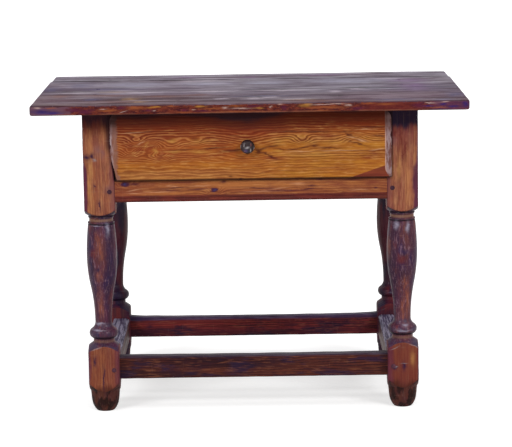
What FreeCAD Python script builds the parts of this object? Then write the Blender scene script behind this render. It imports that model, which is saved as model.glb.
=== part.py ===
import FreeCAD, Part
import math
import os

# Tavern table: a joined frame of four turned legs, an apron and a box of stretchers, a plank top
# pegged down on it, and one lipped drawer that slides out to the front.
#
# Millimetres, +Z up. The origin is on the floor under the middle of the top. The drawer faces -Y,
# and "left" and "right" are those of someone who stands in front of the drawer.

Vector = FreeCAD.Vector

# ---------------------------------------------------------------- top
table_height = 711.0
top_width = 970.0
top_depth = 640.0
top_thickness = 22.0
top_corner_radius = 9.0
top_edge_round = 3.5
front_board_width = 280.0
back_board_width = 123.0
board_gap = 0.5
middle_board_trim = 1.0
back_board_trim = 4.0

# ---------------------------------------------------------------- legs
leg_square = 70.0
end_overhang = 110.0
side_overhang = 65.0
leg_arris = 2.5
post_drop = 14.0

foot_pad_radius = 20.5
foot_toe_radius = 27.0
foot_toe_height = 8.0
foot_ball_radius = 31.0
foot_ball_height = 22.0
foot_radius = 33.5
foot_height = 47.0
foot_shoulder = 15.0
foot_block_height = 75.0

lower_shoulder_rise = 23.0
lower_neck_radius = 24.0
lower_neck_height = 8.0
ring_radius = 33.0
ring_height = 23.0
flare_radius = 26.0
flare_step = 2.0
flare_height = 17.0
flare_hollow = 1.6
waist_radius = 19.3
ogee_turn = 0.54
belly_radius = 34.7
belly_drop = 72.0
vase_top_radius = 30.2
quirk_depth = 1.4
collar_radius = 30.5
collar_height = 6.5
upper_neck_radius = 26.0
upper_neck_height = 8.5
astragal_radius = 29.3
astragal_height = 4.5
upper_shoulder_drop = 19.0

# ---------------------------------------------------------------- apron and rails
apron_depth = 206.0
apron_thickness = 22.0
apron_setback = 8.0
front_rail_height = 50.0
front_rail_thickness = 30.0
front_rail_setback = 1.5
bead_radius = 5.0
bead_quirk = 3.0
upper_rail_height = 20.0
dovetail_length = 24.0
dovetail_depth = 14.0
dovetail_root = 18.0
dovetail_tip = 26.0

# ---------------------------------------------------------------- stretchers
stretcher_height = 52.0
stretcher_thickness = 28.0
side_stretcher_thickness = 38.0
side_stretcher_setback = 1.5
stretcher_wear = 2.0
stretcher_round = 3.0

# ---------------------------------------------------------------- joints of the frame
tenon_length = 30.0
side_stretcher_tenon_length = 25.0
rail_tenon_thickness = 10.0
stretcher_tenon_thickness = 12.0
tenon_shoulder = 7.0
apron_tenon_haunch = 25.0
tenon_fit = 0.2
mortise_end_gap = 1.0
peg_radius = 5.0
peg_fit = 0.1
peg_inset = 12.0
peg_run = 10.0
peg_proud = 1.0
apron_peg_inset = 25.0
top_peg_radius = 4.0
top_peg_depth = 16.0
top_peg_spread = 160.0
top_peg_inset = 55.0

# ---------------------------------------------------------------- drawer and what it runs on
runner_width = 30.0
runner_height = 22.0
runner_stub_length = 8.0
runner_stub_shoulder = 6.0
guide_height = 30.0
guide_rise = 14.0
drawer_side_gap = 1.5
drawer_lift = 0.4
drawer_head_gap = 3.0
drawer_back_gap = 14.0
drawer_front_thickness = 23.0
lip_thickness = 9.0
lip_overlap = 11.0
lip_head_gap = 3.0
lip_standoff = 0.3
lip_corner_radius = 20.0
lip_bevel_width = 16.0
lip_bevel_depth = 4.5
drawer_side_thickness = 12.0
drawer_back_thickness = 12.0
drawer_bottom_thickness = 9.0
drawer_bottom_rise = 8.0
drawer_groove_depth = 6.0
bottom_feather_width = 24.0
bottom_feather_depth = 3.0
groove_fit = 0.2
front_tail_length = 9.0
tail_count = 3
tail_root = 20.0
tail_slope = 1.0 / 6.0
tail_margin = 9.0
tail_fit = 0.1
knob_height = 75.5
knob_offset = 6.0
knob_radius = 16.0
knob_base_radius = 11.0
knob_neck_radius = 8.0
knob_neck_length = 6.0
knob_cheek_radius = 14.0
knob_cheek_length = 9.5
knob_rim_low = 12.5
knob_rim_high = 17.0
knob_brow_radius = 12.0
knob_brow_length = 21.0
knob_crown_radius = 6.5
knob_crown_length = 23.3
knob_length = 24.0
knob_tenon_radius = 6.0

# ---------------------------------------------------------------- places that follow from the sizes
leg_length = table_height - top_thickness
leg_spacing_x = top_width - 2 * end_overhang - leg_square
leg_spacing_y = top_depth - 2 * side_overhang - leg_square
inner_x = (leg_spacing_x - leg_square) / 2
inner_y = (leg_spacing_y - leg_square) / 2
outer_x = (leg_spacing_x + leg_square) / 2
outer_y = (leg_spacing_y + leg_square) / 2
apron_low = leg_length - apron_depth
apron_centre_x = outer_x - apron_setback - apron_thickness / 2
apron_centre_y = outer_y - apron_setback - apron_thickness / 2
rail_centre_y = -(outer_y - front_rail_setback - front_rail_thickness / 2)
rail_back_y = rail_centre_y + front_rail_thickness / 2
apron_front_y = apron_centre_y - apron_thickness / 2
rail_top = apron_low + front_rail_height
upper_rail_low = leg_length - upper_rail_height
block_low = foot_height + foot_shoulder
block_high = block_low + foot_block_height
stretcher_low = block_low + (foot_block_height - stretcher_height) / 2
side_stretcher_x = inner_x + side_stretcher_setback + side_stretcher_thickness / 2

drawer_half_width = inner_x - drawer_side_gap
drawer_low = rail_top + drawer_lift
drawer_high = upper_rail_low - drawer_head_gap
lip_back_y = -outer_y - lip_standoff
lip_front_y = lip_back_y - lip_thickness
front_back_y = lip_front_y + drawer_front_thickness
drawer_back_y = apron_front_y - drawer_back_gap
drawer_side_inner_x = drawer_half_width - drawer_side_thickness
bottom_low = drawer_low + drawer_bottom_rise
bottom_high = bottom_low + drawer_bottom_thickness
knob_seat = Vector(-knob_offset, lip_front_y, drawer_low + knob_height)


# ---------------------------------------------------------------- small helpers
def box(x_low, x_high, y_low, y_high, z_low, z_high):
    """A plain block between two opposite corners."""
    return Part.makeBox(x_high - x_low, y_high - y_low, z_high - z_low, Vector(x_low, y_low, z_low))


def rod(radius, start, direction, length):
    """A round rod from start along direction."""
    return Part.makeCylinder(radius, length, start, direction)


def eight_sided(radius, start, direction, length):
    """A rod shaved to eight flats at that radius, from start along direction."""
    first = Vector(1, 0, 0) if direction.z else direction.cross(Vector(0, 0, 1))
    second = direction.cross(first)
    corner_radius = radius / math.cos(math.pi / 8)
    corners = []
    for index in range(8):
        angle = (index + 0.5) * math.pi / 4
        corners.append(start + first * (corner_radius * math.cos(angle))
                       + second * (corner_radius * math.sin(angle)))
    return Part.Face(Part.makePolygon(corners + corners[:1])).extrude(direction * length)


def bulged(start, end, bulge):
    """An arc between two (radius, height) points, its middle pushed outwards by bulge."""
    run = end[0] - start[0]
    rise = end[1] - start[1]
    length = math.hypot(run, rise)
    middle_radius = (start[0] + end[0]) / 2 + bulge * rise / length
    middle_height = (start[1] + end[1]) / 2 - bulge * run / length
    return Part.Arc(on_profile(start), Vector(middle_radius, 0, middle_height), on_profile(end)).toShape()


def on_profile(point):
    """A (radius, height) pair as a point of the half outline in the XZ plane."""
    return Vector(point[0], 0, point[1])


def straight(start, end):
    return Part.makeLine(on_profile(start), on_profile(end))


def flats(*points):
    """A run of straight edges through (radius, height) points."""
    return [straight(start, end) for start, end in zip(points, points[1:])]


def bead(start, end, radius):
    """The outline of a small turned bead: three flats that stand out to radius."""
    quarter = (end[1] - start[1]) / 4
    return flats(start, (radius, start[1] + quarter), (radius, end[1] - quarter), end)


def upright_arc(upright, other):
    """An arc between two (radius, height) points that runs parallel to the axis at the first one."""
    run = other[0] - upright[0]
    rise = other[1] - upright[1]
    radius = (run ** 2 + rise ** 2) / (2 * abs(run))
    half_sweep = math.atan2(abs(rise), radius - abs(run)) / 2
    middle = (upright[0] + math.copysign(radius * (1 - math.cos(half_sweep)), run),
              upright[1] + math.copysign(radius * math.sin(half_sweep), rise))
    return Part.Arc(on_profile(upright), on_profile(middle), on_profile(other)).toShape()


def rounded_rectangle(half_x, half_y, radius, z):
    """A face in plan with rounded corners, centred on the origin."""
    corners = [(half_x, half_y), (-half_x, half_y), (-half_x, -half_y), (half_x, -half_y)]
    edges = []
    starts = []
    ends = []
    for corner_x, corner_y in corners:
        sign_x = math.copysign(1, corner_x)
        sign_y = math.copysign(1, corner_y)
        centre = Vector(corner_x - sign_x * radius, corner_y - sign_y * radius, z)
        along_x = centre + Vector(0, sign_y * radius, 0)
        along_y = centre + Vector(sign_x * radius, 0, 0)
        middle = centre + Vector(sign_x, sign_y, 0) * (radius * math.sqrt(0.5))
        first, last = (along_y, along_x) if sign_x * sign_y > 0 else (along_x, along_y)
        starts.append(first)
        ends.append(last)
        edges.append(Part.Arc(first, middle, last).toShape())
    for index, end in enumerate(ends):
        edges.append(Part.makeLine(end, starts[(index + 1) % len(starts)]))
    return Part.Face(Part.Wire(Part.__sortEdges__(edges)))


def mirrored_x(shape):
    """The same piece on the other side of the table."""
    return shape.mirror(Vector(0, 0, 0), Vector(1, 0, 0))


def place_across(shape, y):
    """Sets a member made along X at its depth in the frame."""
    shape.translate(Vector(0, y, 0))
    return shape


def place_along(shape, x):
    """Turns a member made along X to run from front to back, and sets it at x."""
    shape.rotate(Vector(0, 0, 0), Vector(0, 0, 1), 90)
    shape.translate(Vector(x, 0, 0))
    return shape


# ---------------------------------------------------------------- tenons, mortises and pegs
def tenon_pair(span, length, thickness, low, high):
    """The tenons at both ends of a member that spans the gap between two legs along X."""
    half = span / 2
    right = box(half, half + length, -thickness / 2, thickness / 2, low, high)
    return right.fuse(mirrored_x(right))


def mortise_pair(span, length, thickness, low, high):
    """The holes those tenons fit: easy on the cheeks, with some room past the end."""
    half = span / 2
    cheek = thickness / 2 + tenon_fit
    right = box(half - 1, half + length + mortise_end_gap, -cheek, cheek, low - tenon_fit, high + tenon_fit)
    return right.fuse(mirrored_x(right))


def front_back_pegs(centre_y, tenon_thickness, height, outer_sign):
    """Pegs through the tenons of a member along X, driven in from the legs' outer face."""
    depth = outer_y - abs(centre_y) + tenon_thickness / 2 + peg_run
    start_y = outer_sign * (outer_y + peg_proud)
    direction = Vector(0, -outer_sign, 0)
    return [(Vector(side * (inner_x + peg_inset), start_y, height), direction, depth + peg_proud)
            for side in (-1, 1)]


def side_pegs(centre_x, tenon_thickness, height, outer_sign):
    """Pegs through the tenons of a member along Y, driven in from the legs' outer face."""
    depth = outer_x - abs(centre_x) + tenon_thickness / 2 + peg_run
    start_x = outer_sign * (outer_x + peg_proud)
    direction = Vector(-outer_sign, 0, 0)
    return [(Vector(start_x, end * (inner_y + peg_inset), height), direction, depth + peg_proud)
            for end in (-1, 1)]


apron_tenon_low = apron_low + tenon_shoulder
apron_tenon_high = leg_length - apron_tenon_haunch
rail_tenon_low = apron_low + tenon_shoulder
rail_tenon_high = rail_top - tenon_shoulder
stretcher_tenon_low = stretcher_low + tenon_shoulder
stretcher_tenon_high = stretcher_low + stretcher_height - tenon_shoulder - stretcher_wear
apron_peg_heights = (apron_tenon_low + apron_peg_inset, apron_tenon_high - apron_peg_inset)
rail_peg_height = (rail_tenon_low + rail_tenon_high) / 2
stretcher_peg_height = (stretcher_tenon_low + stretcher_tenon_high) / 2


def frame_pegs():
    """Every drawbore peg of the frame, by the face it is driven in from."""
    groups = {"pegs_front": front_back_pegs(rail_centre_y, rail_tenon_thickness, rail_peg_height, -1),
              "pegs_back": [], "pegs_left": [], "pegs_right": []}
    for height in apron_peg_heights:
        groups["pegs_back"] += front_back_pegs(apron_centre_y, rail_tenon_thickness, height, 1)
        groups["pegs_left"] += side_pegs(apron_centre_x, rail_tenon_thickness, height, -1)
        groups["pegs_right"] += side_pegs(apron_centre_x, rail_tenon_thickness, height, 1)
    for name, sign in (("pegs_front", -1), ("pegs_back", 1)):
        groups[name] += front_back_pegs(leg_spacing_y / 2, stretcher_tenon_thickness,
                                        stretcher_peg_height, sign)
    for name, sign in (("pegs_left", -1), ("pegs_right", 1)):
        groups[name] += side_pegs(side_stretcher_x, stretcher_tenon_thickness,
                                  stretcher_peg_height, sign)
    return groups


front_board_back = -top_depth / 2 + front_board_width
middle_board_front = front_board_back + board_gap
back_board_front = top_depth / 2 - back_board_width
middle_board_back = back_board_front - board_gap


def top_peg_places():
    """Pegs that hold each board down: in the posts, the side aprons, the upper rail and the back."""
    middle_width = middle_board_back - middle_board_front
    places = []
    for side in (-1, 1):
        places.append((side * leg_spacing_x / 2, -leg_spacing_y / 2))
        places.append((side * top_peg_spread, rail_centre_y))
        places.append((side * apron_centre_x, front_board_back - top_peg_inset))
        places.append((side * apron_centre_x, middle_board_front + middle_width / 4))
        places.append((side * apron_centre_x, middle_board_back - middle_width / 4))
        places.append((side * leg_spacing_x / 2, leg_spacing_y / 2))
        places.append((side * top_peg_spread, apron_centre_y))
    return places


def peg_solids(places):
    """Straight pegs, riven and shaved to eight sides, with a softened outer end."""
    pegs = []
    for start, direction, length in places:
        peg = eight_sided(peg_radius, start, direction, length)
        rim = [edge for edge in peg.Edges if (edge.CenterOfMass - start).Length < peg_radius + peg_fit]
        pegs.append(peg.makeChamfer(peg_proud / 2, rim))
    return pegs


peg_groups = frame_pegs()
top_pegs = [(Vector(x, y, table_height), Vector(0, 0, -1), top_thickness + top_peg_depth)
            for x, y in top_peg_places()]
peg_holes = [eight_sided(peg_radius + peg_fit, start, direction, length + peg_fit)
             for group in peg_groups.values() for start, direction, length in group]
top_peg_holes = [eight_sided(top_peg_radius + peg_fit, start, direction, length + peg_fit)
                 for start, direction, length in top_pegs]
all_peg_holes = Part.makeCompound(peg_holes + top_peg_holes)


# ---------------------------------------------------------------- legs
def leg_outline():
    """Half outline of the turning, from the foot pad to the top of the post."""
    stock = leg_square * math.sqrt(0.5) + 1
    ring_low = block_high + lower_shoulder_rise + lower_neck_height
    ring_high = ring_low + ring_height
    waist_low = ring_high + flare_height
    post_low = apron_low - post_drop
    astragal_high = post_low - upper_shoulder_drop
    neck_high = astragal_high - astragal_height
    collar_high = neck_high - upper_neck_height
    vase_high = collar_high - collar_height
    belly_height = vase_high - belly_drop
    ring_bulge = ring_radius - (lower_neck_radius + flare_radius) / 2
    collar_root = upper_neck_radius + quirk_depth
    astragal_root = upper_neck_radius + quirk_depth
    turn = (waist_radius + ogee_turn * (belly_radius - waist_radius),
            waist_low + ogee_turn * (belly_height - waist_low))
    edges = flats((0, 0), (foot_pad_radius, 0), (foot_toe_radius, foot_toe_height),
                  (foot_ball_radius, foot_ball_height), (foot_radius, foot_height), (stock, block_low),
                  (stock, block_high), (lower_neck_radius, block_high + lower_shoulder_rise),
                  (lower_neck_radius, ring_low))
    edges += [
        bulged((lower_neck_radius, ring_low), (flare_radius, ring_high), ring_bulge),
        straight((flare_radius, ring_high), (flare_radius - flare_step, ring_high + flare_step)),
        bulged((flare_radius - flare_step, ring_high + flare_step), (waist_radius, waist_low), -flare_hollow),
        upright_arc((waist_radius, waist_low), turn),
        upright_arc((belly_radius, belly_height), turn),
        upright_arc((belly_radius, belly_height), (vase_top_radius, vase_high)),
        straight((vase_top_radius, vase_high), (collar_root, vase_high + quirk_depth)),
    ]
    edges += bead((collar_root, vase_high + quirk_depth), (upper_neck_radius, collar_high), collar_radius)
    edges.append(straight((upper_neck_radius, collar_high), (upper_neck_radius, neck_high)))
    edges += bead((upper_neck_radius, neck_high), (astragal_root, astragal_high), astragal_radius)
    edges += flats((astragal_root, astragal_high), (stock, post_low), (stock, leg_length), (0, leg_length),
                   (0, 0))
    return Part.Face(Part.Wire(edges))


def turned_leg():
    """Square stock with the turned foot, ring, vase and necks cut in between its plain blocks."""
    turning = leg_outline().revolve(Vector(0, 0, 0), Vector(0, 0, 1), 360)
    stock = rounded_rectangle(leg_square / 2, leg_square / 2, leg_arris, 0)
    return turning.common(stock.extrude(Vector(0, 0, leg_length)))


def dovetail(side, ease, below):
    """The lapped dovetail that lets one end of the upper rail into the top of a post."""
    root_x = inner_x - (1 if ease else 0)
    tip_x = inner_x + dovetail_length + ease
    half_root = dovetail_root / 2 + ease
    half_tip = dovetail_tip / 2 + ease
    corners = [Vector(root_x, rail_centre_y - half_root, below),
               Vector(tip_x, rail_centre_y - half_tip, below),
               Vector(tip_x, rail_centre_y + half_tip, below),
               Vector(root_x, rail_centre_y + half_root, below)]
    tail = Part.Face(Part.makePolygon(corners + corners[:1])).extrude(Vector(0, 0, leg_length - below))
    return tail if side > 0 else mirrored_x(tail)


def leg_mortises():
    """All the holes that the rails, aprons and stretchers need in the four legs."""
    span_x = 2 * inner_x
    span_y = 2 * inner_y
    holes = [
        place_across(mortise_pair(span_x, tenon_length, rail_tenon_thickness,
                                  rail_tenon_low, rail_tenon_high), rail_centre_y),
        place_across(mortise_pair(span_x, tenon_length, rail_tenon_thickness,
                                  apron_tenon_low, apron_tenon_high), apron_centre_y),
    ]
    for side in (-1, 1):
        holes.append(place_across(mortise_pair(span_x, tenon_length, stretcher_tenon_thickness,
                                               stretcher_tenon_low, stretcher_tenon_high),
                                  side * leg_spacing_y / 2))
        holes.append(place_along(mortise_pair(span_y, tenon_length, rail_tenon_thickness,
                                              apron_tenon_low, apron_tenon_high),
                                 side * apron_centre_x))
        holes.append(place_along(mortise_pair(span_y, side_stretcher_tenon_length,
                                              stretcher_tenon_thickness,
                                              stretcher_tenon_low, stretcher_tenon_high),
                                 side * side_stretcher_x))
        holes.append(dovetail(side, tenon_fit, leg_length - dovetail_depth - tenon_fit))
    return Part.makeCompound(holes)


def make_legs():
    blank = turned_leg()
    mortises = leg_mortises()
    legs = {}
    for depth_name, sign_y in (("front", -1), ("back", 1)):
        for side_name, sign_x in (("left", -1), ("right", 1)):
            leg = blank.copy()
            leg.translate(Vector(sign_x * leg_spacing_x / 2, sign_y * leg_spacing_y / 2, 0))
            legs["leg_%s_%s" % (depth_name, side_name)] = leg.cut(mortises).cut(all_peg_holes)
    return legs


# ---------------------------------------------------------------- apron, rails and stretchers
def make_front_rail():
    """The rail under the drawer, with a scratched bead and quirk along its lower front edge."""
    half = front_rail_thickness / 2
    face = -half
    diagonal = bead_radius * math.sqrt(0.5)
    bead_end = Vector(0, face + bead_radius - diagonal, bead_radius + diagonal)
    bead = Part.Arc(Vector(0, face + bead_radius, 0), Vector(0, face, bead_radius), bead_end).toShape()
    outline = Part.makePolygon([bead_end, Vector(0, face, 2 * bead_radius + bead_quirk / 2),
                                Vector(0, face, front_rail_height), Vector(0, half, front_rail_height),
                                Vector(0, half, 0), Vector(0, face + bead_radius, 0)])
    section = Part.Face(Part.Wire([bead] + outline.Edges))
    section.translate(Vector(-inner_x, 0, apron_low))
    rail = section.extrude(Vector(2 * inner_x, 0, 0))
    rail = rail.fuse(tenon_pair(2 * inner_x, tenon_length, rail_tenon_thickness,
                                rail_tenon_low, rail_tenon_high))
    return place_across(rail, rail_centre_y).cut(runner_stubs(groove_fit)).cut(all_peg_holes)


def make_upper_rail():
    """The shallow rail over the drawer, dovetailed down into the tops of the front posts."""
    half = front_rail_thickness / 2
    rail = box(-inner_x, inner_x, rail_centre_y - half, rail_centre_y + half, upper_rail_low, leg_length)
    for side in (-1, 1):
        rail = rail.fuse(dovetail(side, 0, leg_length - dovetail_depth))
    return rail.removeSplitter().cut(all_peg_holes)


def apron_board(span):
    """A deep apron board along X with a haunched-down tenon at each end."""
    board = box(-span / 2, span / 2, -apron_thickness / 2, apron_thickness / 2, apron_low, leg_length)
    return board.fuse(tenon_pair(span, tenon_length, rail_tenon_thickness,
                                 apron_tenon_low, apron_tenon_high))


def stretcher_board(span, thickness, length):
    """A stretcher along X whose upper edge is worn hollow and rounded by feet."""
    low = stretcher_low
    high = stretcher_low + stretcher_height
    half = span / 2
    hollow = Part.Arc(Vector(half, 0, high), Vector(0, 0, high - stretcher_wear),
                      Vector(-half, 0, high)).toShape()
    sides = Part.makePolygon([Vector(-half, 0, high), Vector(-half, 0, low), Vector(half, 0, low),
                              Vector(half, 0, high)])
    face = Part.Face(Part.Wire([hollow] + sides.Edges))
    face.translate(Vector(0, -thickness / 2, 0))
    board = face.extrude(Vector(0, thickness, 0))
    worn = [edge for edge in board.Edges
            if edge.BoundBox.XLength > half and edge.BoundBox.ZMin > low + stretcher_height / 2]
    board = board.makeFillet(stretcher_round, worn)
    return board.fuse(tenon_pair(span, length, stretcher_tenon_thickness,
                                 stretcher_tenon_low, stretcher_tenon_high))


def make_aprons_and_stretchers():
    pieces = {
        "apron_back": place_across(apron_board(2 * inner_x), apron_centre_y).cut(runner_stubs(groove_fit)),
        "stretcher_front": place_across(stretcher_board(2 * inner_x, stretcher_thickness, tenon_length),
                                        -leg_spacing_y / 2),
        "stretcher_back": place_across(stretcher_board(2 * inner_x, stretcher_thickness, tenon_length),
                                       leg_spacing_y / 2),
    }
    for name, side in (("left", -1), ("right", 1)):
        pieces["apron_" + name] = place_along(apron_board(2 * inner_y), side * apron_centre_x)
        pieces["stretcher_" + name] = place_along(
            stretcher_board(2 * inner_y, side_stretcher_thickness, side_stretcher_tenon_length),
            side * side_stretcher_x)
    return {name: piece.cut(all_peg_holes) for name, piece in pieces.items()}


# ---------------------------------------------------------------- what the drawer runs on
def runner(side, ease):
    """A runner's stub tenons and body. With ease, only the sockets for the stubs."""
    low = rail_top - runner_height + runner_stub_shoulder - ease
    high = rail_top - runner_stub_shoulder + ease
    reach = runner_stub_length + (mortise_end_gap if ease else 0)
    inset = runner_stub_shoulder - ease
    stub = box(inner_x - runner_width + inset, inner_x - inset, rail_back_y - reach,
               apron_front_y + reach, low, high)
    if not ease:
        stub = stub.fuse(box(inner_x - runner_width, inner_x, rail_back_y, apron_front_y,
                             rail_top - runner_height, rail_top))
    return stub if side > 0 else mirrored_x(stub)


def runner_stubs(ease):
    """The sockets for all four stubs of the two runners."""
    return Part.makeCompound([runner(-1, ease), runner(1, ease)])


def make_drawer_supports():
    """Runners under the drawer's sides, guides beside them and kickers above them."""
    apron_inner_x = apron_centre_x - apron_thickness / 2
    guide_high = rail_top + guide_rise
    guide = box(inner_x, apron_inner_x, -inner_y, inner_y, guide_high - guide_height, guide_high)
    kicker = box(inner_x - runner_width, inner_x, rail_back_y, apron_front_y, upper_rail_low, leg_length)
    return {
        "runner_left": runner(-1, 0),
        "runner_right": runner(1, 0),
        "guide_left": mirrored_x(guide),
        "guide_right": guide,
        "kicker_left": mirrored_x(kicker),
        "kicker_right": kicker,
    }


# ---------------------------------------------------------------- top
def top_board(y_low, y_high, trim):
    """One plank: a slice of the whole rounded top, with its ends trimmed a little."""
    half_width = top_width / 2 - trim
    blank = rounded_rectangle(half_width, top_depth / 2, top_corner_radius, leg_length)
    blank = blank.extrude(Vector(0, 0, top_thickness))
    rim = [edge for edge in blank.Edges if edge.BoundBox.ZLength < top_thickness / 2]
    blank = blank.makeFillet(top_edge_round, rim)
    return blank.common(box(-top_width, top_width, y_low, y_high, 0, table_height)).cut(all_peg_holes)


def make_top():
    return {
        "top_board_front": top_board(-top_depth, front_board_back, 0),
        "top_board_middle": top_board(middle_board_front, middle_board_back, middle_board_trim),
        "top_board_back": top_board(back_board_front, top_depth, back_board_trim),
    }


# ---------------------------------------------------------------- drawer
def tail_row(low, high, root_y, tip_y, ease):
    """Dovetails on the end of a drawer side: wider at the tip, one above the other."""
    reach = abs(tip_y - root_y)
    outwards = math.copysign(1, tip_y - root_y)
    pitch = (high - low - 2 * tail_margin - tail_root) / (tail_count - 1)
    tails = []
    for index in range(tail_count):
        centre = low + tail_margin + tail_root / 2 + index * pitch
        half_root = tail_root / 2 + ease
        half_tip = half_root + reach * tail_slope
        corners = [Vector(drawer_side_inner_x, root_y, centre - half_root),
                   Vector(drawer_side_inner_x, tip_y + outwards * ease, centre - half_tip),
                   Vector(drawer_side_inner_x, tip_y + outwards * ease, centre + half_tip),
                   Vector(drawer_side_inner_x, root_y, centre + half_root)]
        face = Part.Face(Part.makePolygon(corners + corners[:1]))
        tails.append(face.extrude(Vector(drawer_side_thickness, 0, 0)))
    return tails


def drawer_tails(ease):
    """Tails at both ends of the right-hand side: lapped in front, through at the back."""
    front = tail_row(drawer_low, drawer_high, front_back_y, front_back_y - front_tail_length, ease)
    back = tail_row(bottom_high, drawer_high, drawer_back_y - drawer_back_thickness, drawer_back_y, ease)
    return front + back


def tail_sockets():
    right = Part.makeCompound(drawer_tails(tail_fit))
    return Part.makeCompound([right, mirrored_x(right)])


def bottom_groove():
    """The groove that holds the feathered edges of the drawer's bottom, on three sides."""
    reach = drawer_groove_depth
    low = bottom_low + bottom_feather_depth * (1 - reach / bottom_feather_width) - groove_fit
    return box(-drawer_side_inner_x - reach, drawer_side_inner_x + reach, front_back_y - reach,
               drawer_back_y + 1, low, bottom_high)


def lip_outline(inset, y):
    """Outline of the drawer front's lip at depth y: round upper corners, square lower ones."""
    half = inner_x + lip_overlap - inset
    high = leg_length - lip_head_gap - inset
    radius = max(lip_corner_radius - inset, 1)
    slant = radius * (1 - math.sqrt(0.5))
    corner = high - radius
    right = Part.Arc(Vector(half, y, corner), Vector(half - slant, y, high - slant),
                     Vector(half - radius, y, high)).toShape()
    left = Part.Arc(Vector(-half + radius, y, high), Vector(-half + slant, y, high - slant),
                    Vector(-half, y, corner)).toShape()
    return Part.Wire([
        Part.makeLine(Vector(half, y, drawer_low), Vector(half, y, corner)),
        right,
        Part.makeLine(Vector(half - radius, y, high), Vector(-half + radius, y, high)),
        left,
        Part.makeLine(Vector(-half, y, corner), Vector(-half, y, drawer_low)),
        Part.makeLine(Vector(-half, y, drawer_low), Vector(half, y, drawer_low)),
    ])


def make_drawer_front():
    """A thick board rebated to a lip that overlaps the posts and the upper rail, with a bevel."""
    bevel_start_y = lip_front_y + lip_bevel_depth
    plate = Part.Face(lip_outline(0, bevel_start_y)).extrude(Vector(0, lip_thickness - lip_bevel_depth, 0))
    field = Part.makeLoft([lip_outline(0, bevel_start_y), lip_outline(lip_bevel_width, lip_front_y)],
                          True, True)
    body = box(-drawer_half_width, drawer_half_width, lip_back_y, front_back_y, drawer_low, drawer_high)
    front = plate.fuse([field, body]).removeSplitter()
    knob_hole = rod(knob_tenon_radius + peg_fit, knob_seat, Vector(0, 1, 0), drawer_front_thickness)
    return front.cut([tail_sockets(), bottom_groove(), knob_hole])


def make_drawer_side():
    """The right-hand side board with its dovetails and the groove for the bottom."""
    side = box(drawer_side_inner_x, drawer_half_width, front_back_y,
               drawer_back_y - drawer_back_thickness, drawer_low, drawer_high)
    heel = box(drawer_side_inner_x, drawer_half_width, drawer_back_y - drawer_back_thickness,
               drawer_back_y, drawer_low, bottom_high)
    return side.fuse([heel] + drawer_tails(0)).removeSplitter().cut(bottom_groove())


def make_drawer_back():
    """The back board stands on the bottom, so that the bottom can slide in from behind."""
    back = box(-drawer_half_width, drawer_half_width, drawer_back_y - drawer_back_thickness,
               drawer_back_y, bottom_high, drawer_high)
    return back.cut(tail_sockets())


def make_drawer_bottom():
    """A plank feathered underneath along the three edges that sit in the grooves."""
    half = drawer_side_inner_x + drawer_groove_depth - groove_fit
    front = front_back_y - drawer_groove_depth + groove_fit
    plank = box(-half, half, front, drawer_back_y, bottom_low, bottom_high)
    depth = bottom_feather_depth
    width = bottom_feather_width
    side_wedge = Part.Face(Part.makePolygon([
        Vector(half, front, bottom_low), Vector(half, front, bottom_low + depth),
        Vector(half - width, front, bottom_low), Vector(half, front, bottom_low),
    ])).extrude(Vector(0, drawer_back_y - front, 0))
    front_wedge = Part.Face(Part.makePolygon([
        Vector(-half, front, bottom_low), Vector(-half, front, bottom_low + depth),
        Vector(-half, front + width, bottom_low), Vector(-half, front, bottom_low),
    ])).extrude(Vector(2 * half, 0, 0))
    return plank.cut([side_wedge, mirrored_x(side_wedge), front_wedge])


def make_knob():
    """A small turned knob, a little left of the middle, tenoned right through the drawer front."""
    edges = flats((0, -drawer_front_thickness), (knob_tenon_radius, -drawer_front_thickness),
                  (knob_tenon_radius, 0), (knob_base_radius, 0), (knob_neck_radius, knob_neck_length),
                  (knob_cheek_radius, knob_cheek_length), (knob_radius, knob_rim_low),
                  (knob_radius, knob_rim_high), (knob_brow_radius, knob_brow_length),
                  (knob_crown_radius, knob_crown_length), (0, knob_length), (0, -drawer_front_thickness))
    knob = Part.Face(Part.Wire(edges)).revolve(Vector(0, 0, 0), Vector(0, 0, 1), 360)
    knob.rotate(Vector(0, 0, 0), Vector(1, 0, 0), 90)
    knob.translate(knob_seat)
    return knob


def make_drawer():
    side = make_drawer_side()
    return {
        "drawer_front": make_drawer_front(),
        "drawer_side_left": mirrored_x(side),
        "drawer_side_right": side,
        "drawer_back": make_drawer_back(),
        "drawer_bottom": make_drawer_bottom(),
        "drawer_knob": make_knob(),
    }


# ---------------------------------------------------------------- pegs, as groups of separate solids
def make_pegs():
    pegs = {name: Part.makeCompound(peg_solids(group)) for name, group in peg_groups.items()}
    pegs["pegs_top"] = Part.makeCompound([eight_sided(top_peg_radius, *place) for place in top_pegs])
    return pegs


# ---------------------------------------------------------------- the whole table
def build():
    pieces = {}
    pieces.update(make_top())
    pieces.update(make_legs())
    pieces["front_rail"] = make_front_rail()
    pieces["upper_rail"] = make_upper_rail()
    pieces.update(make_aprons_and_stretchers())
    pieces.update(make_drawer_supports())
    pieces.update(make_pegs())
    pieces.update(make_drawer())
    os.makedirs("parts", exist_ok=True)
    for name, shape in pieces.items():
        shape.exportStep(os.path.join("parts", name + ".step"))
        print("%-20s solids %2d  valid %s  volume %9.0f"
              % (name, len(shape.Solids), shape.isValid(), shape.Volume))


build()
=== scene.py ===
# %% [markdown]
# # An old tavern table, dressed for the studio
#
# The frame of this scene is the table's own construction: planks, turned legs, rails, stretchers and
# one drawer, each at its true place and size, in metres. This lesson leaves every joint where it is
# and adds what two and a half centuries of use add to a table: rounded arrises, chips, an open shake
# in the top, worn steps in the stretchers, and the old finish that has gone dark in some places and
# has rubbed through to orange pine in others.
#
# The first cell loads the construction and notes the box it fills, so that the last cell can show
# that the dressed table still fills the same box.

# %% Load the construction
import math

import bmesh
import bpy
import numpy as np
from mathutils import Matrix, Vector


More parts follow.
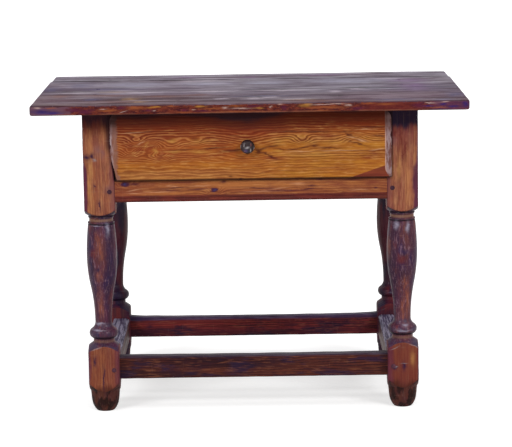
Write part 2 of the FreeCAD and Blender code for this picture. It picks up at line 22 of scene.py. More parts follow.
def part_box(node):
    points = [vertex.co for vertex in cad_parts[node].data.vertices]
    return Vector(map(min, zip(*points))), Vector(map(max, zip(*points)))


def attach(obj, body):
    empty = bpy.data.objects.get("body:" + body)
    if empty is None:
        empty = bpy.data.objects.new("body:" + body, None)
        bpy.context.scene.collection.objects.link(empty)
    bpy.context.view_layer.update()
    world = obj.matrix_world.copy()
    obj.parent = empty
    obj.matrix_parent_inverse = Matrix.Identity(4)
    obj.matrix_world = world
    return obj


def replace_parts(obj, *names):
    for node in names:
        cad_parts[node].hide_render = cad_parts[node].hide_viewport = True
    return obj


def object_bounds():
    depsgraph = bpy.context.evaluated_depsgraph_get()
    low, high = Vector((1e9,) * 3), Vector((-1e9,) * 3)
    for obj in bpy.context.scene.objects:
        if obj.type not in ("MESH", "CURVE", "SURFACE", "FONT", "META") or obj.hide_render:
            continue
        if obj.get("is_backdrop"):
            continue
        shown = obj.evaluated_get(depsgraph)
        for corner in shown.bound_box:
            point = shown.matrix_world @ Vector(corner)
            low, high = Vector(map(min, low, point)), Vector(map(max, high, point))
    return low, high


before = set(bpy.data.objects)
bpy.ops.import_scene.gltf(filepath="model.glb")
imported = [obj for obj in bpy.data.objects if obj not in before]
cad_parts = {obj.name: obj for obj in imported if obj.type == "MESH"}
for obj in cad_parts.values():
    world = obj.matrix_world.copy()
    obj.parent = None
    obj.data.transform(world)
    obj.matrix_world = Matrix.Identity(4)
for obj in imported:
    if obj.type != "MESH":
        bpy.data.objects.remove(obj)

MM = 0.001
cad_low, cad_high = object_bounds()
print("construction fills", [round(v, 4) for v in cad_high - cad_low], "m")

# %% [markdown]
# ## The camera
#
# A long lens from five metres away, a little above the table, keeps the drawing calm: the legs stay
# parallel and the top shows as a narrow band. A camera looks along its own minus Z, so its three axes
# are worked out from a heading, a downward pitch and a very small roll, and written as the columns of
# a rotation matrix.

# %% Place the camera
# millimetres for the place, the lens and its sensor, and radians for the angles
CAMERA_PLACE = Vector((24.26, -5252.36, 1274.45)) * MM
CAMERA_YAW = -0.0028
CAMERA_PITCH = 0.16709
CAMERA_ROLL = -0.01537
CAMERA_LENS = 158.71
SENSOR_WIDTH = 36.0


def camera_rotation(yaw, pitch, roll):
    """Columns are the camera's right, up and backward axes for that heading, pitch and roll."""
    forward = Vector((math.sin(yaw) * math.cos(pitch), math.cos(yaw) * math.cos(pitch), -math.sin(pitch)))
    level = Vector((math.cos(yaw), -math.sin(yaw), 0.0))
    upright = level.cross(forward)
    right = level * math.cos(roll) + upright * math.sin(roll)
    up = upright * math.cos(roll) - level * math.sin(roll)
    return Matrix((right, up, -forward)).transposed()


lens = bpy.data.cameras.new("studio_lens")
lens.sensor_fit = "HORIZONTAL"
lens.sensor_width = SENSOR_WIDTH
lens.lens = CAMERA_LENS
camera = bpy.data.objects.new("studio_camera", lens)
camera.matrix_world = (Matrix.Translation(CAMERA_PLACE)
                       @ camera_rotation(CAMERA_YAW, CAMERA_PITCH, CAMERA_ROLL).to_4x4())
bpy.context.scene.collection.objects.link(camera)
bpy.context.scene.camera = camera
print("camera stands", round(CAMERA_PLACE.length, 2), "m from the middle of the floor")

# %% [markdown]
# ## The light
#
# Three very wide lamps stand in for softboxes: two in front, left and right, a little above eye
# height, and one overhead. Sun lamps with a wide angle are chosen because their light is as strong
# far away as near, so the pale floor stays even. A lamp shines along its own minus Z, so it is turned
# until its Z points back to where its light comes from.

# %% Lamps
scene = bpy.context.scene
scene.view_settings.view_transform = "Standard"
LAMP_AWAY = 4.0
LAMPS = {
    "lamp_front_left": dict(strength=1.35, azimuth=-40.0, elevation=29.0, angle=18.0),
    "lamp_front_right": dict(strength=1.35, azimuth=38.0, elevation=31.0, angle=18.0),
    "lamp_overhead": dict(strength=1.00, azimuth=10.0, elevation=80.0, angle=40.0),
}


def sun_lamp(name, strength, azimuth, elevation, angle):
    """A wide sun whose light comes from that azimuth (0 is the front, minus Y) and elevation."""
    data = bpy.data.lights.new(name, "SUN")
    data.energy = strength
    data.angle = math.radians(angle)
    lamp = bpy.data.objects.new(name, data)
    turn, rise = math.radians(azimuth), math.radians(elevation)
    toward = Vector((math.sin(turn) * math.cos(rise), -math.cos(turn) * math.cos(rise), math.sin(rise)))
    lamp.rotation_mode = "QUATERNION"
    lamp.rotation_quaternion = toward.to_track_quat("Z", "Y")
    lamp.location = toward * LAMP_AWAY
    bpy.context.scene.collection.objects.link(lamp)
    return lamp


for lamp_name, lamp_settings in LAMPS.items():
    sun_lamp(lamp_name, **lamp_settings)
print(len(LAMPS), "lamps")


# %% [markdown]
# ## Short names for shader nodes
#
# Old wood needs many small nodes. A little class keeps each one to a single readable line: a call adds
# the node, plugs in numbers or other nodes' outputs, and hands back its own output. Most of what
# follows lays a shade over a colour, so the share of a mix may be a pair: a mask and its strength.

# %% A notation for node trees
class Tree:
    """One node tree with short calls for the nodes that these finishes use."""

    def __init__(self, tree):
        self.tree = tree

    def add(self, kind, plugs=(), output=0, **settings):
        """Adds a node, sets its properties, plugs values or sockets into inputs, returns an output."""
        node = self.tree.nodes.new(kind)
        for name, value in settings.items():
            setattr(node, name, value)
        for key, value in dict(plugs).items():
            if isinstance(value, bpy.types.NodeSocket):
                self.tree.links.new(value, node.inputs[key])
            else:
                node.inputs[key].default_value = value
        return node.outputs[output] if node.outputs else None

    def math(self, operation, first, second=0.0, clamp=False):
        """One operation on two numbers, kept between 0 and 1 if clamp is set."""
        return self.add("ShaderNodeMath", {0: first, 1: second}, operation=operation, use_clamp=clamp)

    def times(self, first, second):
        """first x second"""
        return self.math("MULTIPLY", first, second)

    def plus(self, first, second):
        """first + second"""
        return self.math("ADD", first, second)

    def minus(self, first, second):
        """first - second"""
        return self.math("SUBTRACT", first, second)

    def larger(self, first, second):
        """The larger of the two."""
        return self.math("MAXIMUM", first, second)

    def gather(self, operation, values):
        """Joins numbers one after the other by one operation."""
        total = None
        for value in values:
            total = value if total is None else self.math(operation, total, value)
        return total

    def vector(self, operation, first, second, output=0):
        """One operation on two vectors."""
        return self.add("ShaderNodeVectorMath", {0: first, 1: second}, output, operation=operation)

    def parts(self, vector):
        """The vector's x, y and z."""
        node = self.add("ShaderNodeSeparateXYZ", {0: vector}).node
        return node.outputs[0], node.outputs[1], node.outputs[2]

    def point(self, x, y, z):
        """A vector made of x, y and z."""
        return self.add("ShaderNodeCombineXYZ", {0: x, 1: y, 2: z})

    def noise(self, vector, stretch, detail=2.0, roughness=0.5, output=0):
        """Fractal noise with its own number of waves per metre along x, y and z."""
        stretched = self.vector("MULTIPLY", vector, stretch)
        return self.add("ShaderNodeTexNoise", {"Vector": stretched, "Scale": 1.0, "Detail": detail,
                                               "Roughness": roughness}, output)

    def step(self, value, low, high):
        """Goes smoothly from 0 at low to 1 at high, also where high is the smaller one."""
        return self.add("ShaderNodeMapRange", {"Value": value, "From Min": low, "From Max": high},
                        interpolation_type="SMOOTHSTEP")

    def mix(self, share, first, second, blend="MIX"):
        """Colour first where share is 0, second where it is 1. A pair, (mask, strength), is multiplied."""
        if isinstance(share, tuple):
            share = self.math("MULTIPLY", *share)
        return self.add("ShaderNodeMix", {0: share, 6: first, 7: second}, 2, data_type="RGBA",
                        blend_type=blend)

    def scale(self, share, low, high):
        """A number from low to high as share goes from 0 to 1."""
        return self.add("ShaderNodeMapRange", {"Value": share, "To Min": low, "To Max": high})

    def use(self, group, plugs):
        """Places a node group and hands back its outputs by name."""
        node = self.add("ShaderNodeGroup", plugs, node_tree=group).node
        return {socket.name: socket for socket in node.outputs}


def make_group(name, inputs, outputs, build):
    """A node group: inputs are (label, kind, default), and build returns its outputs by label."""
    group = bpy.data.node_groups.new(name, "ShaderNodeTree")
    for label, kind, default in inputs:
        socket = group.interface.new_socket(name=label, in_out="INPUT", socket_type="NodeSocket" + kind)
        socket.default_value = default
    for label, kind in outputs:
        group.interface.new_socket(name=label, in_out="OUTPUT", socket_type="NodeSocket" + kind)
    start = group.nodes.new("NodeGroupInput")
    end = group.nodes.new("NodeGroupOutput")
    tree = Tree(group)
    made = build(tree, {socket.name: socket for socket in start.outputs if socket.name})
    for label, _ in outputs:
        group.links.new(made[label], end.inputs[label])
    print("%-14s puts out" % name, ", ".join(label for label, _ in outputs))
    return group


def paint(red, green, blue):
    """A colour as the four linear numbers a colour socket takes."""
    return (red, green, blue, 1.0)


print("a tree has", len([name for name in vars(Tree) if not name.startswith("_")]), "short calls")

# %% [markdown]
# ## Growth rings, fibres and knots
#
# A plank is a slice of a tree, so its figure is worked out as one: the distance from the tree's heart
# in the plank's cross-section, divided by the width of a year's growth, gives a ring number, and the
# fractional part of that number darkens towards the end of each year. A slow wander along the grain
# makes the arches of flat-sawn boards. A knot raises the ring number around one place, which closes
# the lines into loops round it. Every wood here uses the same group with its own values.

# %% The growth ring group
def build_growth(tree, given):
    """Ring number = distance from the heart line / ring width + bend; lines darken late in a year."""
    point = tree.vector("ADD", given["Point"], given["Shift"])
    slow = tree.vector("SUBTRACT", tree.noise(point, (1.7, 9.0, 9.0), output=1), (0.5, 0.5, 0.5))
    wander = tree.add("ShaderNodeVectorMath", {0: slow, "Scale": given["Wander"]}, operation="SCALE")
    moved = tree.vector("ADD", tree.vector("SUBTRACT", given["Point"], given["Heart"]), wander)
    section = tree.vector("MULTIPLY", moved, (0.0, 1.0, 1.0))
    reach = tree.vector("LENGTH", section, (0.0, 0.0, 0.0), "Value")
    rings = tree.math("DIVIDE", reach, given["Ring width"])
    ruffle = tree.times(tree.noise(point, (13.0, 60.0, 60.0), 3.0), given["Ruffle"])
    rings = tree.plus(tree.plus(rings, ruffle), given["Bend"])
    year = tree.math("FRACT", rings)
    late = tree.times(tree.step(year, 0.22, 0.88), tree.step(year, 1.0, 0.9))
    early = tree.times(tree.step(year, 0.0, 0.14), tree.step(year, 0.46, 0.26))
    strength = tree.step(tree.noise(point, (3.0, 42.0, 42.0), 3.0), 0.3, 0.62)
    fibre = tree.noise(point, (9.0, 420.0, 420.0), 2.0, 0.6)
    streak = tree.noise(point, (3.6, 120.0, 120.0), 4.0, 0.68)
    tone = tree.noise(point, (2.2, 18.0, 18.0), 4.0, 0.6)
    return {"Lines": tree.times(late, strength), "Early": tree.times(early, strength),
            "Fibre": tree.step(fibre, 0.35, 0.65),
            "Streak": tree.step(streak, 0.37, 0.63), "Tone": tree.step(tone, 0.36, 0.64)}


growth = make_group(
    "growth rings",
    [("Point", "Vector", (0, 0, 0)), ("Shift", "Vector", (0, 0, 0)), ("Heart", "Vector", (0, 0, 0)),
     ("Ring width", "Float", 0.004), ("Wander", "Float", 0.02), ("Bend", "Float", 0.0),
     ("Ruffle", "Float", 1.6)],
    [("Lines", "Float"), ("Early", "Float"), ("Fibre", "Float"), ("Streak", "Float"), ("Tone", "Float")],
    build_growth)

# %% [markdown]
# ## Knots
#
# A knot is the foot of a branch, and the trunk's year lines have to go round it. So it needs no rings
# of its own: it adds a smooth hill of years to the ring number, and the lines close into loops by
# themselves. A finish may also paint its small heart dark.

# %% The knot group
EULER = 2.718


def bell(tree, squares):
    """EULER to the power of minus squares: 1 where squares is 0, falling off in a bell shape."""
    return tree.math("POWER", EULER, tree.times(squares, -1.0))


def build_knot(tree, given):
    """Bend = years x exp(-(distance / size) squared), with distance squashed along the grain."""
    away = tree.vector("MULTIPLY", tree.vector("SUBTRACT", given["Point"], given["Place"]), (0.62, 1.0, 1.0))
    wobble = tree.vector("SUBTRACT", tree.noise(given["Point"], (40.0, 70.0, 70.0), output=1),
                         (0.5, 0.5, 0.5))
    away = tree.vector("ADD", away, tree.vector("MULTIPLY", wobble, (0.006, 0.006, 0.006)))
    distance = tree.math("DIVIDE", tree.vector("LENGTH", away, (0, 0, 0), "Value"), given["Size"])
    return {"Bend": tree.times(bell(tree, tree.times(distance, distance)), given["Years"]),
            "Heartwood": tree.step(distance, 0.55, 0.3)}


knot = make_group(
    "knot",
    [("Point", "Vector", (0, 0, 0)), ("Place", "Vector", (0, 0, 0)), ("Size", "Float", 0.02),
     ("Years", "Float", 3.0)],
    [("Bend", "Float"), ("Heartwood", "Float")],
    build_knot)


def grow_knots(tree, place, depth, knots):
    """The group's outputs for each knot (x, z, size, years), in millimetres, at that depth in metres."""
    return [tree.use(knot, {"Point": place, "Place": (x * MM, depth, z * MM), "Size": size * MM,
                            "Years": years}) for x, z, size, years in knots]


# %% [markdown]
# ## Wear
#
# Use takes a finish off in patches, scratches it and leaves dirt in its hollows. Each of the three is
# a threshold on noise that is stretched along the grain, but for a few scratches across it. A larger
# amount moves the first threshold, so more of the old coat is gone.

# %% The wear group
def build_wear(tree, given):
    """Patches where the old coat is gone, thin scratches along and across the grain, and dirt."""
    point = given["Point"]
    patch = tree.noise(point, (7.0, 24.0, 24.0), 5.0, 0.62)
    patch = tree.plus(patch, tree.times(tree.noise(point, (30.0, 260.0, 260.0), 2.0), 0.22))
    gone = tree.step(tree.plus(patch, given["Amount"]), 0.6, 0.78)
    scratch = tree.noise(point, (16.0, 620.0, 620.0), 1.0)
    across = tree.noise(point, (420.0, 26.0, 26.0), 1.0)
    scratches = tree.larger(tree.step(scratch, 0.66, 0.72), tree.step(across, 0.7, 0.75))
    dirt = tree.step(tree.noise(point, (18.0, 32.0, 32.0), 6.0, 0.7), 0.46, 0.68)
    return {"Gone": gone, "Scratches": scratches, "Dirt": dirt}


wear = make_group(
    "wear",
    [("Point", "Vector", (0, 0, 0)), ("Amount", "Float", 0.0)],
    [("Gone", "Float"), ("Scratches", "Float"), ("Dirt", "Float")],
    build_wear)

# %% [markdown]
# ## Marks at set places
#
# Some marks are this table's own, such as a pale rub on a post, and some are painted light and shade,
# such as the dark streak beside the knob, which is its painted shadow.
# Each is a soft spot with a place, a length and a height, like one touch of a brush. Fine noise shifts
# the place first, so no touch keeps a smooth outline.

# %% The mark group
def build_mark(tree, given):
    """1 in the middle of a mark, falling as exp(-(along / length)^2 - (upwards / height)^2)."""
    away = tree.parts(tree.vector("SUBTRACT", given["Point"], given["Place"]))
    climb = tree.times(away[0], given["Rise"])
    upwards = tree.math("DIVIDE", tree.minus(away[2], climb), given["Height"])
    along = tree.math("DIVIDE", away[0], given["Length"])
    squares = tree.plus(tree.times(along, along), tree.times(upwards, upwards))
    return {"Mask": bell(tree, squares)}


mark = make_group(
    "mark",
    [("Point", "Vector", (0, 0, 0)), ("Place", "Vector", (0, 0, 0)), ("Length", "Float", 0.01),
     ("Height", "Float", 0.003), ("Rise", "Float", 0.0)],
    [("Mask", "Float")],
    build_mark)


def frayed(tree, place, reach):
    """The place shifted by a noise of a few centimetres times reach, so that marks get uneven outlines."""
    shift = tree.minus(tree.noise(place, (45.0, 45.0, 120.0), 3.0, 0.6), 0.5)
    moves = tree.point(*[tree.times(shift, part) if part else 0.0 for part in reach])
    return tree.vector("ADD", place, moves)


def paint_marks(tree, colour, place, groups):
    """Paints groups of marks, each group (shade, strength, marks).

    A mark is (x, z, half length, half height) in millimetres, and has a fifth number where it climbs:
    its rise over its run.
    """
    for shade, strength, marks in groups:
        masks = (tree.use(mark, {"Point": place, "Place": (x * MM, 0.0, z * MM), "Length": length * MM,
                                 "Height": height * MM, "Rise": sum(rise)})["Mask"]
                 for x, z, length, height, *rise in marks)
        colour = tree.mix((tree.gather("MAXIMUM", masks), strength), colour, shade)
    return colour


def tell(name, groups):
    """Prints how many marks there are in some groups."""
    print(sum(len(marks) for _, _, marks in groups), "marks on", name)


# %% [markdown]
# ## Starting a finish
#
# Each finish starts the same way. It reads the place of a point on the table in metres, and turns it
# so that the grain runs along x, whichever way the piece lies. It ends the same way too: colour and
# roughness go to a Principled shader, and a height goes through a Bump node. Ring lines and fibres
# both count as height, because soft early wood wears down between them.

# %% Begin and end a finish
TURNS = {"x": (0, 1, 2), "y": (1, 0, 2), "z": (2, 0, 1)}
COAT_ROUGHNESS = 0.16
finishes = {}


def begin(name):
    """A new material, its tree and the object coordinate in metres."""
    material = bpy.data.materials.new(name)
    material.use_nodes = True
    material.node_tree.nodes.clear()
    tree = Tree(material.node_tree)
    return material, tree, tree.add("ShaderNodeTexCoord", (), "Object")


def turned(tree, place, grain):
    """The same point with the grain's axis first."""
    parts = tree.parts(place)
    return tree.point(*[parts[index] for index in TURNS[grain]])


def finish(material, tree, colour, roughness, height, bump, specular, varnish=None):
    """Plugs colour, roughness and a bump height (0 to 1, bump metres deep) into one shader.

    Varnish, where given, is the share of a thin glossy coat over the wood.
    """
    plugs = {"Base Color": colour, "Roughness": roughness, "Specular IOR Level": specular,
             "Normal": tree.add("ShaderNodeBump", {"Height": height, "Distance": bump, "Strength": 1.0})}
    if varnish is not None:
        plugs.update({"Coat Roughness": COAT_ROUGHNESS, "Coat Weight": varnish})
    tree.add("ShaderNodeOutputMaterial", {"Surface": tree.add("ShaderNodeBsdfPrincipled", plugs)})
    print("%-22s %4d nodes" % (material.name, len(tree.tree.nodes)))
    return material


def grain_height(tree, rings, lines=0.6, fibre=0.4):
    """Height = lines x the ring lines + fibre x the fibres."""
    return tree.plus(tree.times(rings["Lines"], lines), tree.times(rings["Fibre"], fibre))


def near(tree, value, place, reach):
    """1 at place, falling to 0 at reach on either side."""
    return tree.step(tree.math("ABSOLUTE", tree.minus(value, place)), reach, 0.0)


def bands(tree, value, places):
    """The same for several pairs (place, reach) at once."""
    return tree.gather("MAXIMUM", (near(tree, value, place, reach) for place, reach in places))


print("grain can run along", ", ".join(TURNS))

# %% [markdown]
# ## The planks of the top
#
# The top has had the hardest life: its finish is gone, and the pine has weathered to a grey mauve
# brown with long streaks. Its paler grey, blue and mauve tones are partly a painted reflection of the
# pale room on the flat top, and its pale flecks are painted glints. The front edge, rubbed by clothes
# and hands, is redder and brighter, and its two ends have kept some dark paint. The joints between the
# planks hold dirt.

# %% Marks of the top
JOINTS = (-0.0398, 0.1967)
JOINT_DIRT = 0.013
MAUVE, GREY_BLUE = paint(0.5, 0.42, 0.49), paint(0.3, 0.285, 0.37)
SLATE, MAGENTA = paint(0.07, 0.058, 0.13), paint(0.19, 0.07, 0.23)
SOOT, WARM, OCHRE = paint(0.01, 0.005, 0.01), paint(0.15, 0.055, 0.045), paint(0.36, 0.205, 0.1)
# a mark works on x and z, so the top's depth is laid on z: at a quarter, to keep its outline coarse
SQUEEZE = 0.25
# each mark here: x, y, half length, half width, in millimetres
# the grey blue and mauve marks are partly a painted reflection of the pale room on the top
TOP_MARKS = [
    (GREY_BLUE, 0.8, [(-273, 105, 85, 52), (-106, 104, 70, 45), (42, 105, 60, 40), (221, 125, 95, 50),
        (312, 146, 40, 30)]),
    (SLATE, 0.8, [(-402, 101, 30, 50), (-468, 20, 22, 50), (463, -202, 24, 45), (431, -298, 30, 16),
        (-330, 10, 70, 18), (-353, -203, 16, 22), (30, -180, 80, 14), (330, -285, 60, 14)]),
    (MAGENTA, 0.45, [(384, -22, 36, 90), (376, 114, 40, 50), (-154, 262, 32, 18), (-4, 240, 18, 14),
        (180, 270, 50, 16)]),
    (WARM, 0.8, [(-435, -131, 24, 26), (-330, -130, 50, 18), (-200, -160, 45, 20), (-120, -135, 30, 14),
        (-300, -255, 60, 18), (150, -290, 70, 16)]),
    (OCHRE, 0.75, [(-268, -205, 18, 26), (-315, -50, 30, 14), (-245, -262, 16, 14), (110, -262, 30, 10)]),
    (MAUVE, 0.7, [(-398, -63, 50, 13), (-240, -72, 70, 17), (-85, -68, 75, 13), (77, -65, 70, 13),
        (195, -103, 14, 22), (243, -62, 18, 12), (-120, 168, 60, 13), (330, 160, 40, 12),
        (-64, -222, 18, 14), (8, -230, 22, 18), (44, -208, 18, 12), (100, -252, 30, 11)]),
    (SOOT, 0.97, [(242, -28, 30, 16), (-6, -194, 12, 15), (22, -196, 12, 12), (198, -190, 20, 12),
        (-200, 196, 45, 9), (60, -34, 60, 9)])]
tell("the top", TOP_MARKS)


# %% The top's upper face
def plank_face(tree, place, worn):
    """Colour of the upper faces: broad and narrow streaks of grey, brown and mauve along the grain.

    It is browner towards the front and the left, and dirt lies along the joints.
    """
    x, y, _ = tree.parts(place)
    broad = tree.step(tree.noise(place, (2.6, 11.0, 3.0), 3.0, 0.55), 0.4, 0.6)
    narrow = tree.step(tree.noise(place, (5.5, 21.0, 8.0), 4.0, 0.68), 0.42, 0.6)
    hollow = tree.step(tree.noise(place, (7.0, 27.0, 6.0), 4.0, 0.7), 0.5, 0.62)
    speck = tree.step(tree.noise(place, (30.0, 60.0, 8.0), 4.0, 0.72), 0.42, 0.62)
    # the grey mauve of these streaks is weathered pine, partly lightened by a painted reflection of the room
    colour = tree.mix(broad, paint(0.105, 0.074, 0.098), paint(0.215, 0.185, 0.235))
    colour = tree.mix((narrow, 0.55), colour, paint(0.29, 0.258, 0.32))
    ahead = tree.step(tree.plus(y, tree.times(broad, 0.02)), 0.095, 0.035)
    colour = tree.mix(ahead, colour, paint(0.68, 0.65, 0.71), "MULTIPLY")
    toward = tree.step(tree.plus(y, tree.times(broad, 0.04)), -0.04, -0.16)
    left = tree.step(x, 0.02, -0.16)
    shade = tree.mix(left, paint(0.8, 0.69, 0.67), paint(0.82, 0.6, 0.56))
    colour = tree.mix(toward, colour, shade, "MULTIPLY")
    far_left = tree.times(left, tree.step(y, 0.2, 0.1))
    colour = tree.mix(far_left, colour, paint(0.9, 0.8, 0.83), "MULTIPLY")
    right_end = tree.times(tree.step(x, 0.12, 0.28), toward)
    colour = tree.mix(right_end, colour, paint(0.92, 0.7, 0.78), "MULTIPLY")
    colour = tree.mix(tree.step(y, -0.262, -0.312), colour, paint(0.84, 0.66, 0.62), "MULTIPLY")
    flat = tree.point(x, 0.0, tree.times(y, SQUEEZE))
    ragged = frayed(tree, flat, (0.04, 0.0, 0.008))
    colour = tree.mix((hollow, 0.5), colour, paint(0.052, 0.03, 0.052))
    for shade, strength, marks in TOP_MARKS:
        placed = [(mx, my * SQUEEZE, length, width * SQUEEZE) for mx, my, length, width in marks]
        colour = paint_marks(tree, colour, ragged, [(shade, strength, placed)])
    colour = tree.mix((speck, 0.26), colour, paint(0.046, 0.022, 0.028))
    # painted glints: pale mauve flecks drawn out along the grain
    glint = tree.times(tree.step(tree.noise(place, (6.0, 60.0, 8.0), 4.0, 0.6), 0.56, 0.68), 0.36)
    colour = tree.mix(glint, colour, MAUVE)
    colour = tree.mix((worn["Scratches"], 0.2), colour, paint(0.3, 0.24, 0.28))
    seams = bands(tree, y, [(joint, JOINT_DIRT) for joint in JOINTS])
    broken = tree.step(tree.noise(place, (9.0, 4.0, 4.0), 3.0), 0.38, 0.56)
    return tree.mix((seams, tree.scale(broken, 0.25, 0.9)), colour, SOOT), narrow


def begin_top(name):
    """Both finishes of the planks begin with the same tree rings."""
    material, tree, place = begin(name)
    rings = tree.use(growth, {"Point": place, "Heart": (0, 0.06, 0.62), "Ring width": 0.0052,
                              "Wander": 0.035, "Shift": (1.3, 0.4, 0.0)})
    return material, tree, place, rings


def make_top_finish():
    """The worn upper face, and bare wood below the height of the underside."""
    material, tree, place, rings = begin_top("weathered_planks")
    worn = tree.use(wear, {"Point": place, "Amount": 0.02})
    face, narrow = plank_face(tree, place, worn)
    face = tree.mix((rings["Lines"], 0.3), face, paint(0.045, 0.02, 0.028))
    underside = tree.mix(rings["Tone"], paint(0.12, 0.052, 0.03), paint(0.06, 0.026, 0.018))
    below = tree.step(tree.parts(place)[2], 0.6905, 0.6893)
    height = tree.plus(tree.times(narrow, 0.55), tree.times(rings["Lines"], 0.45))
    return finish(material, tree, tree.mix(below, face, underside), tree.scale(narrow, 0.72, 0.5),
                  height, 0.0005, 0.1)


finishes["top"] = make_top_finish()

# %% [markdown]
# ## The top's front edge
#
# Clothes and hands rub this edge more than any other. It is a dark red brown, speckled with orange
# where the coat has flaked, and it turns grey and blue at its two ends. It is a finish of its own,
# which the front plank wears only on the faces of that edge.

# %% Marks of the front edge
EDGE_MARKS = [
    (paint(0.3, 0.082, 0.026), 0.75, [(-251.5, 704.5, 22, 3.4), (-214.5, 704.2, 16, 1.8),
        (-171.2, 706.8, 9, 1.8), (-31.7, 704.8, 12, 2.4), (262.3, 706.6, 15, 2), (153.8, 691.8, 30, 1.2),
        (417.5, 695.2, 19, 1.2), (-147.3, 692.1, 14, 1.3), (-80, 700, 20, 1.8), (-30, 692.2, 70, 1.1),
        (-436.5, 705.8, 11, 1), (170, 699, 40, 2.6), (-310, 699, 20, 2.6), (300, 704.5, 20, 2.4)]),
    (paint(0.085, 0.011, 0.034), 0.85, [(-282.8, 705, 9.5, 3), (-221.9, 697.9, 8, 2.2),
        (-141.7, 697.8, 9, 2.2), (75.8, 699, 5.5, 6), (373.5, 701, 12.5, 7), (-361.6, 696.5, 13, 5.5),
        (-384.5, 700.8, 18, 4.5), (10, 704.2, 13, 1.8), (238, 696, 14, 3.4), (-100, 695, 18, 1.6)]),
    (paint(0.4, 0.18, 0.03), 0.8, [(124.3, 704.8, 11, 4), (-208, 705, 10, 1.2),
        (-105, 705.6, 11, 1.8), (20, 699, 8, 1.8)]),
    (paint(0.024, 0.014, 0.12), 0.85, [(-456, 697.5, 22, 5.8, -0.05), (-435, 694.5, 20, 4.2, -0.05),
        (392.2, 698.5, 10, 1.6), (426.3, 702.5, 6, 1.8), (474, 702, 6, 6), (447, 697, 8, 2.2)]),
    (paint(0.52, 0.36, 0.31), 0.7, [(-53.7, 701.3, 6.5, 2), (-18.3, 699.6, 20, 1.3),
        (46.9, 701.8, 2.4, 2.1), (65.5, 707.3, 6, 1.2), (160, 705.2, 24, 1), (190, 706, 20, 0.9),
        (217.6, 703.2, 6, 2.2), (-275.3, 696.1, 5, 0.9, 0.3), (-209.4, 697.1, 3, 0.9),
        (-123, 698.2, 3.6, 0.8), (-468.2, 706.4, 8.5, 2), (430, 707.5, 11, 1.1, 0.1),
        (398.8, 706, 12, 1, -0.05), (-322, 702, 6, 0.8)])]
tell("the front edge", EDGE_MARKS)


# %% The front edge's finish
def plank_edge(tree, place):
    """Colour of the rubbed front edge: dark red brown, speckled orange, grey and blue at the ends."""
    x, _, z = tree.parts(place)
    rubbed = tree.step(tree.noise(place, (75.0, 60.0, 230.0), 5.0, 0.74), 0.42, 0.6)
    edge = tree.mix(rubbed, paint(0.062, 0.011, 0.013), paint(0.17, 0.036, 0.017))
    smooth = tree.times(tree.step(x, 0.235, 0.27), tree.step(x, 0.38, 0.345))
    edge = tree.mix((smooth, 0.7), edge, paint(0.135, 0.022, 0.017))
    flake = tree.step(tree.noise(place, (150.0, 60.0, 420.0), 4.0, 0.7), 0.56, 0.66)
    flaked = tree.times(flake, tree.scale(smooth, 0.55, 0.15))
    edge = tree.mix(flaked, edge, paint(0.36, 0.12, 0.05))
    fray = tree.times(tree.minus(tree.noise(place, (30.0, 30.0, 60.0), 3.0), 0.5), 0.1)
    uneven = tree.plus(x, fray)
    edge = tree.mix((tree.step(uneven, -0.395, -0.415), 0.92), edge, paint(0.15, 0.08, 0.098))
    edge = tree.mix((tree.step(uneven, 0.385, 0.425), 0.62), edge, paint(0.105, 0.044, 0.098))
    edge = tree.mix(1.0, edge, paint(0.84, 0.72, 0.84), "MULTIPLY")
    ragged = frayed(tree, place, (0.03, 0.0, 0.005))
    edge = paint_marks(tree, edge, ragged, EDGE_MARKS)
    rim = tree.times(near(tree, z, 0.6912, 0.002),
                    tree.step(tree.noise(place, (14.0, 9.0, 9.0), 3.0), 0.4, 0.55))
    return tree.mix((rim, 0.55), edge, paint(0.26, 0.095, 0.055))


def make_edge_finish():
    """The front edge's colours, with the fibres as its roughness and relief."""
    material, tree, place, rings = begin_top("rubbed_front_edge")
    colour = plank_edge(tree, place)
    return finish(material, tree, colour, tree.scale(rings["Fibre"], 0.6, 0.46),
                  grain_height(tree, rings), 0.0007, 0.07)


finishes["top_edge"] = make_edge_finish()

# %% [markdown]
# ## The turned legs
#
# The square posts and blocks, which stick out, are rubbed down to orange brown pine, darker along
# their outer arrises. The turned parts between them have kept a dark, glossy, purple brown finish with
# a few worn streaks, and the narrow necks, where a cloth always reaches, are pale. All of that is set
# by height above the floor, so one finish serves four legs.

# %% Bare and finished wood of the legs
LEG_X = 0.34
LEG_Y = 0.22
LEG_HALF = 0.035
BLOCK_TOP = 0.16
POST_FOOT = 0.45


def bare_leg_wood(tree, place, rings):
    """Rubbed pine: orange brown with darker lines and streaks up the leg, redder low down."""
    x, _, z = tree.parts(place)
    wood = tree.mix(rings["Streak"], paint(0.27, 0.082, 0.036), paint(0.42, 0.165, 0.062))
    wood = tree.mix((rings["Tone"], 0.45), wood, paint(0.29, 0.1, 0.082))
    mottle = tree.step(tree.noise(place, (85.0, 85.0, 26.0), 4.0, 0.68), 0.44, 0.62)
    wood = tree.mix((mottle, 0.38), wood, paint(0.21, 0.05, 0.04))
    fibre = tree.step(tree.noise(place, (420.0, 420.0, 26.0), 3.0, 0.6), 0.5, 0.64)
    wood = tree.mix((fibre, 0.42), wood, paint(0.5, 0.24, 0.11))
    wood = tree.mix((rings["Lines"], 0.55), wood, paint(0.11, 0.02, 0.016))
    low = tree.step(z, 0.3, 0.12)
    right = tree.step(x, -0.1, 0.1)
    return tree.mix((low, tree.scale(right, 0.58, 0.84)), wood, paint(0.125, 0.022, 0.016))


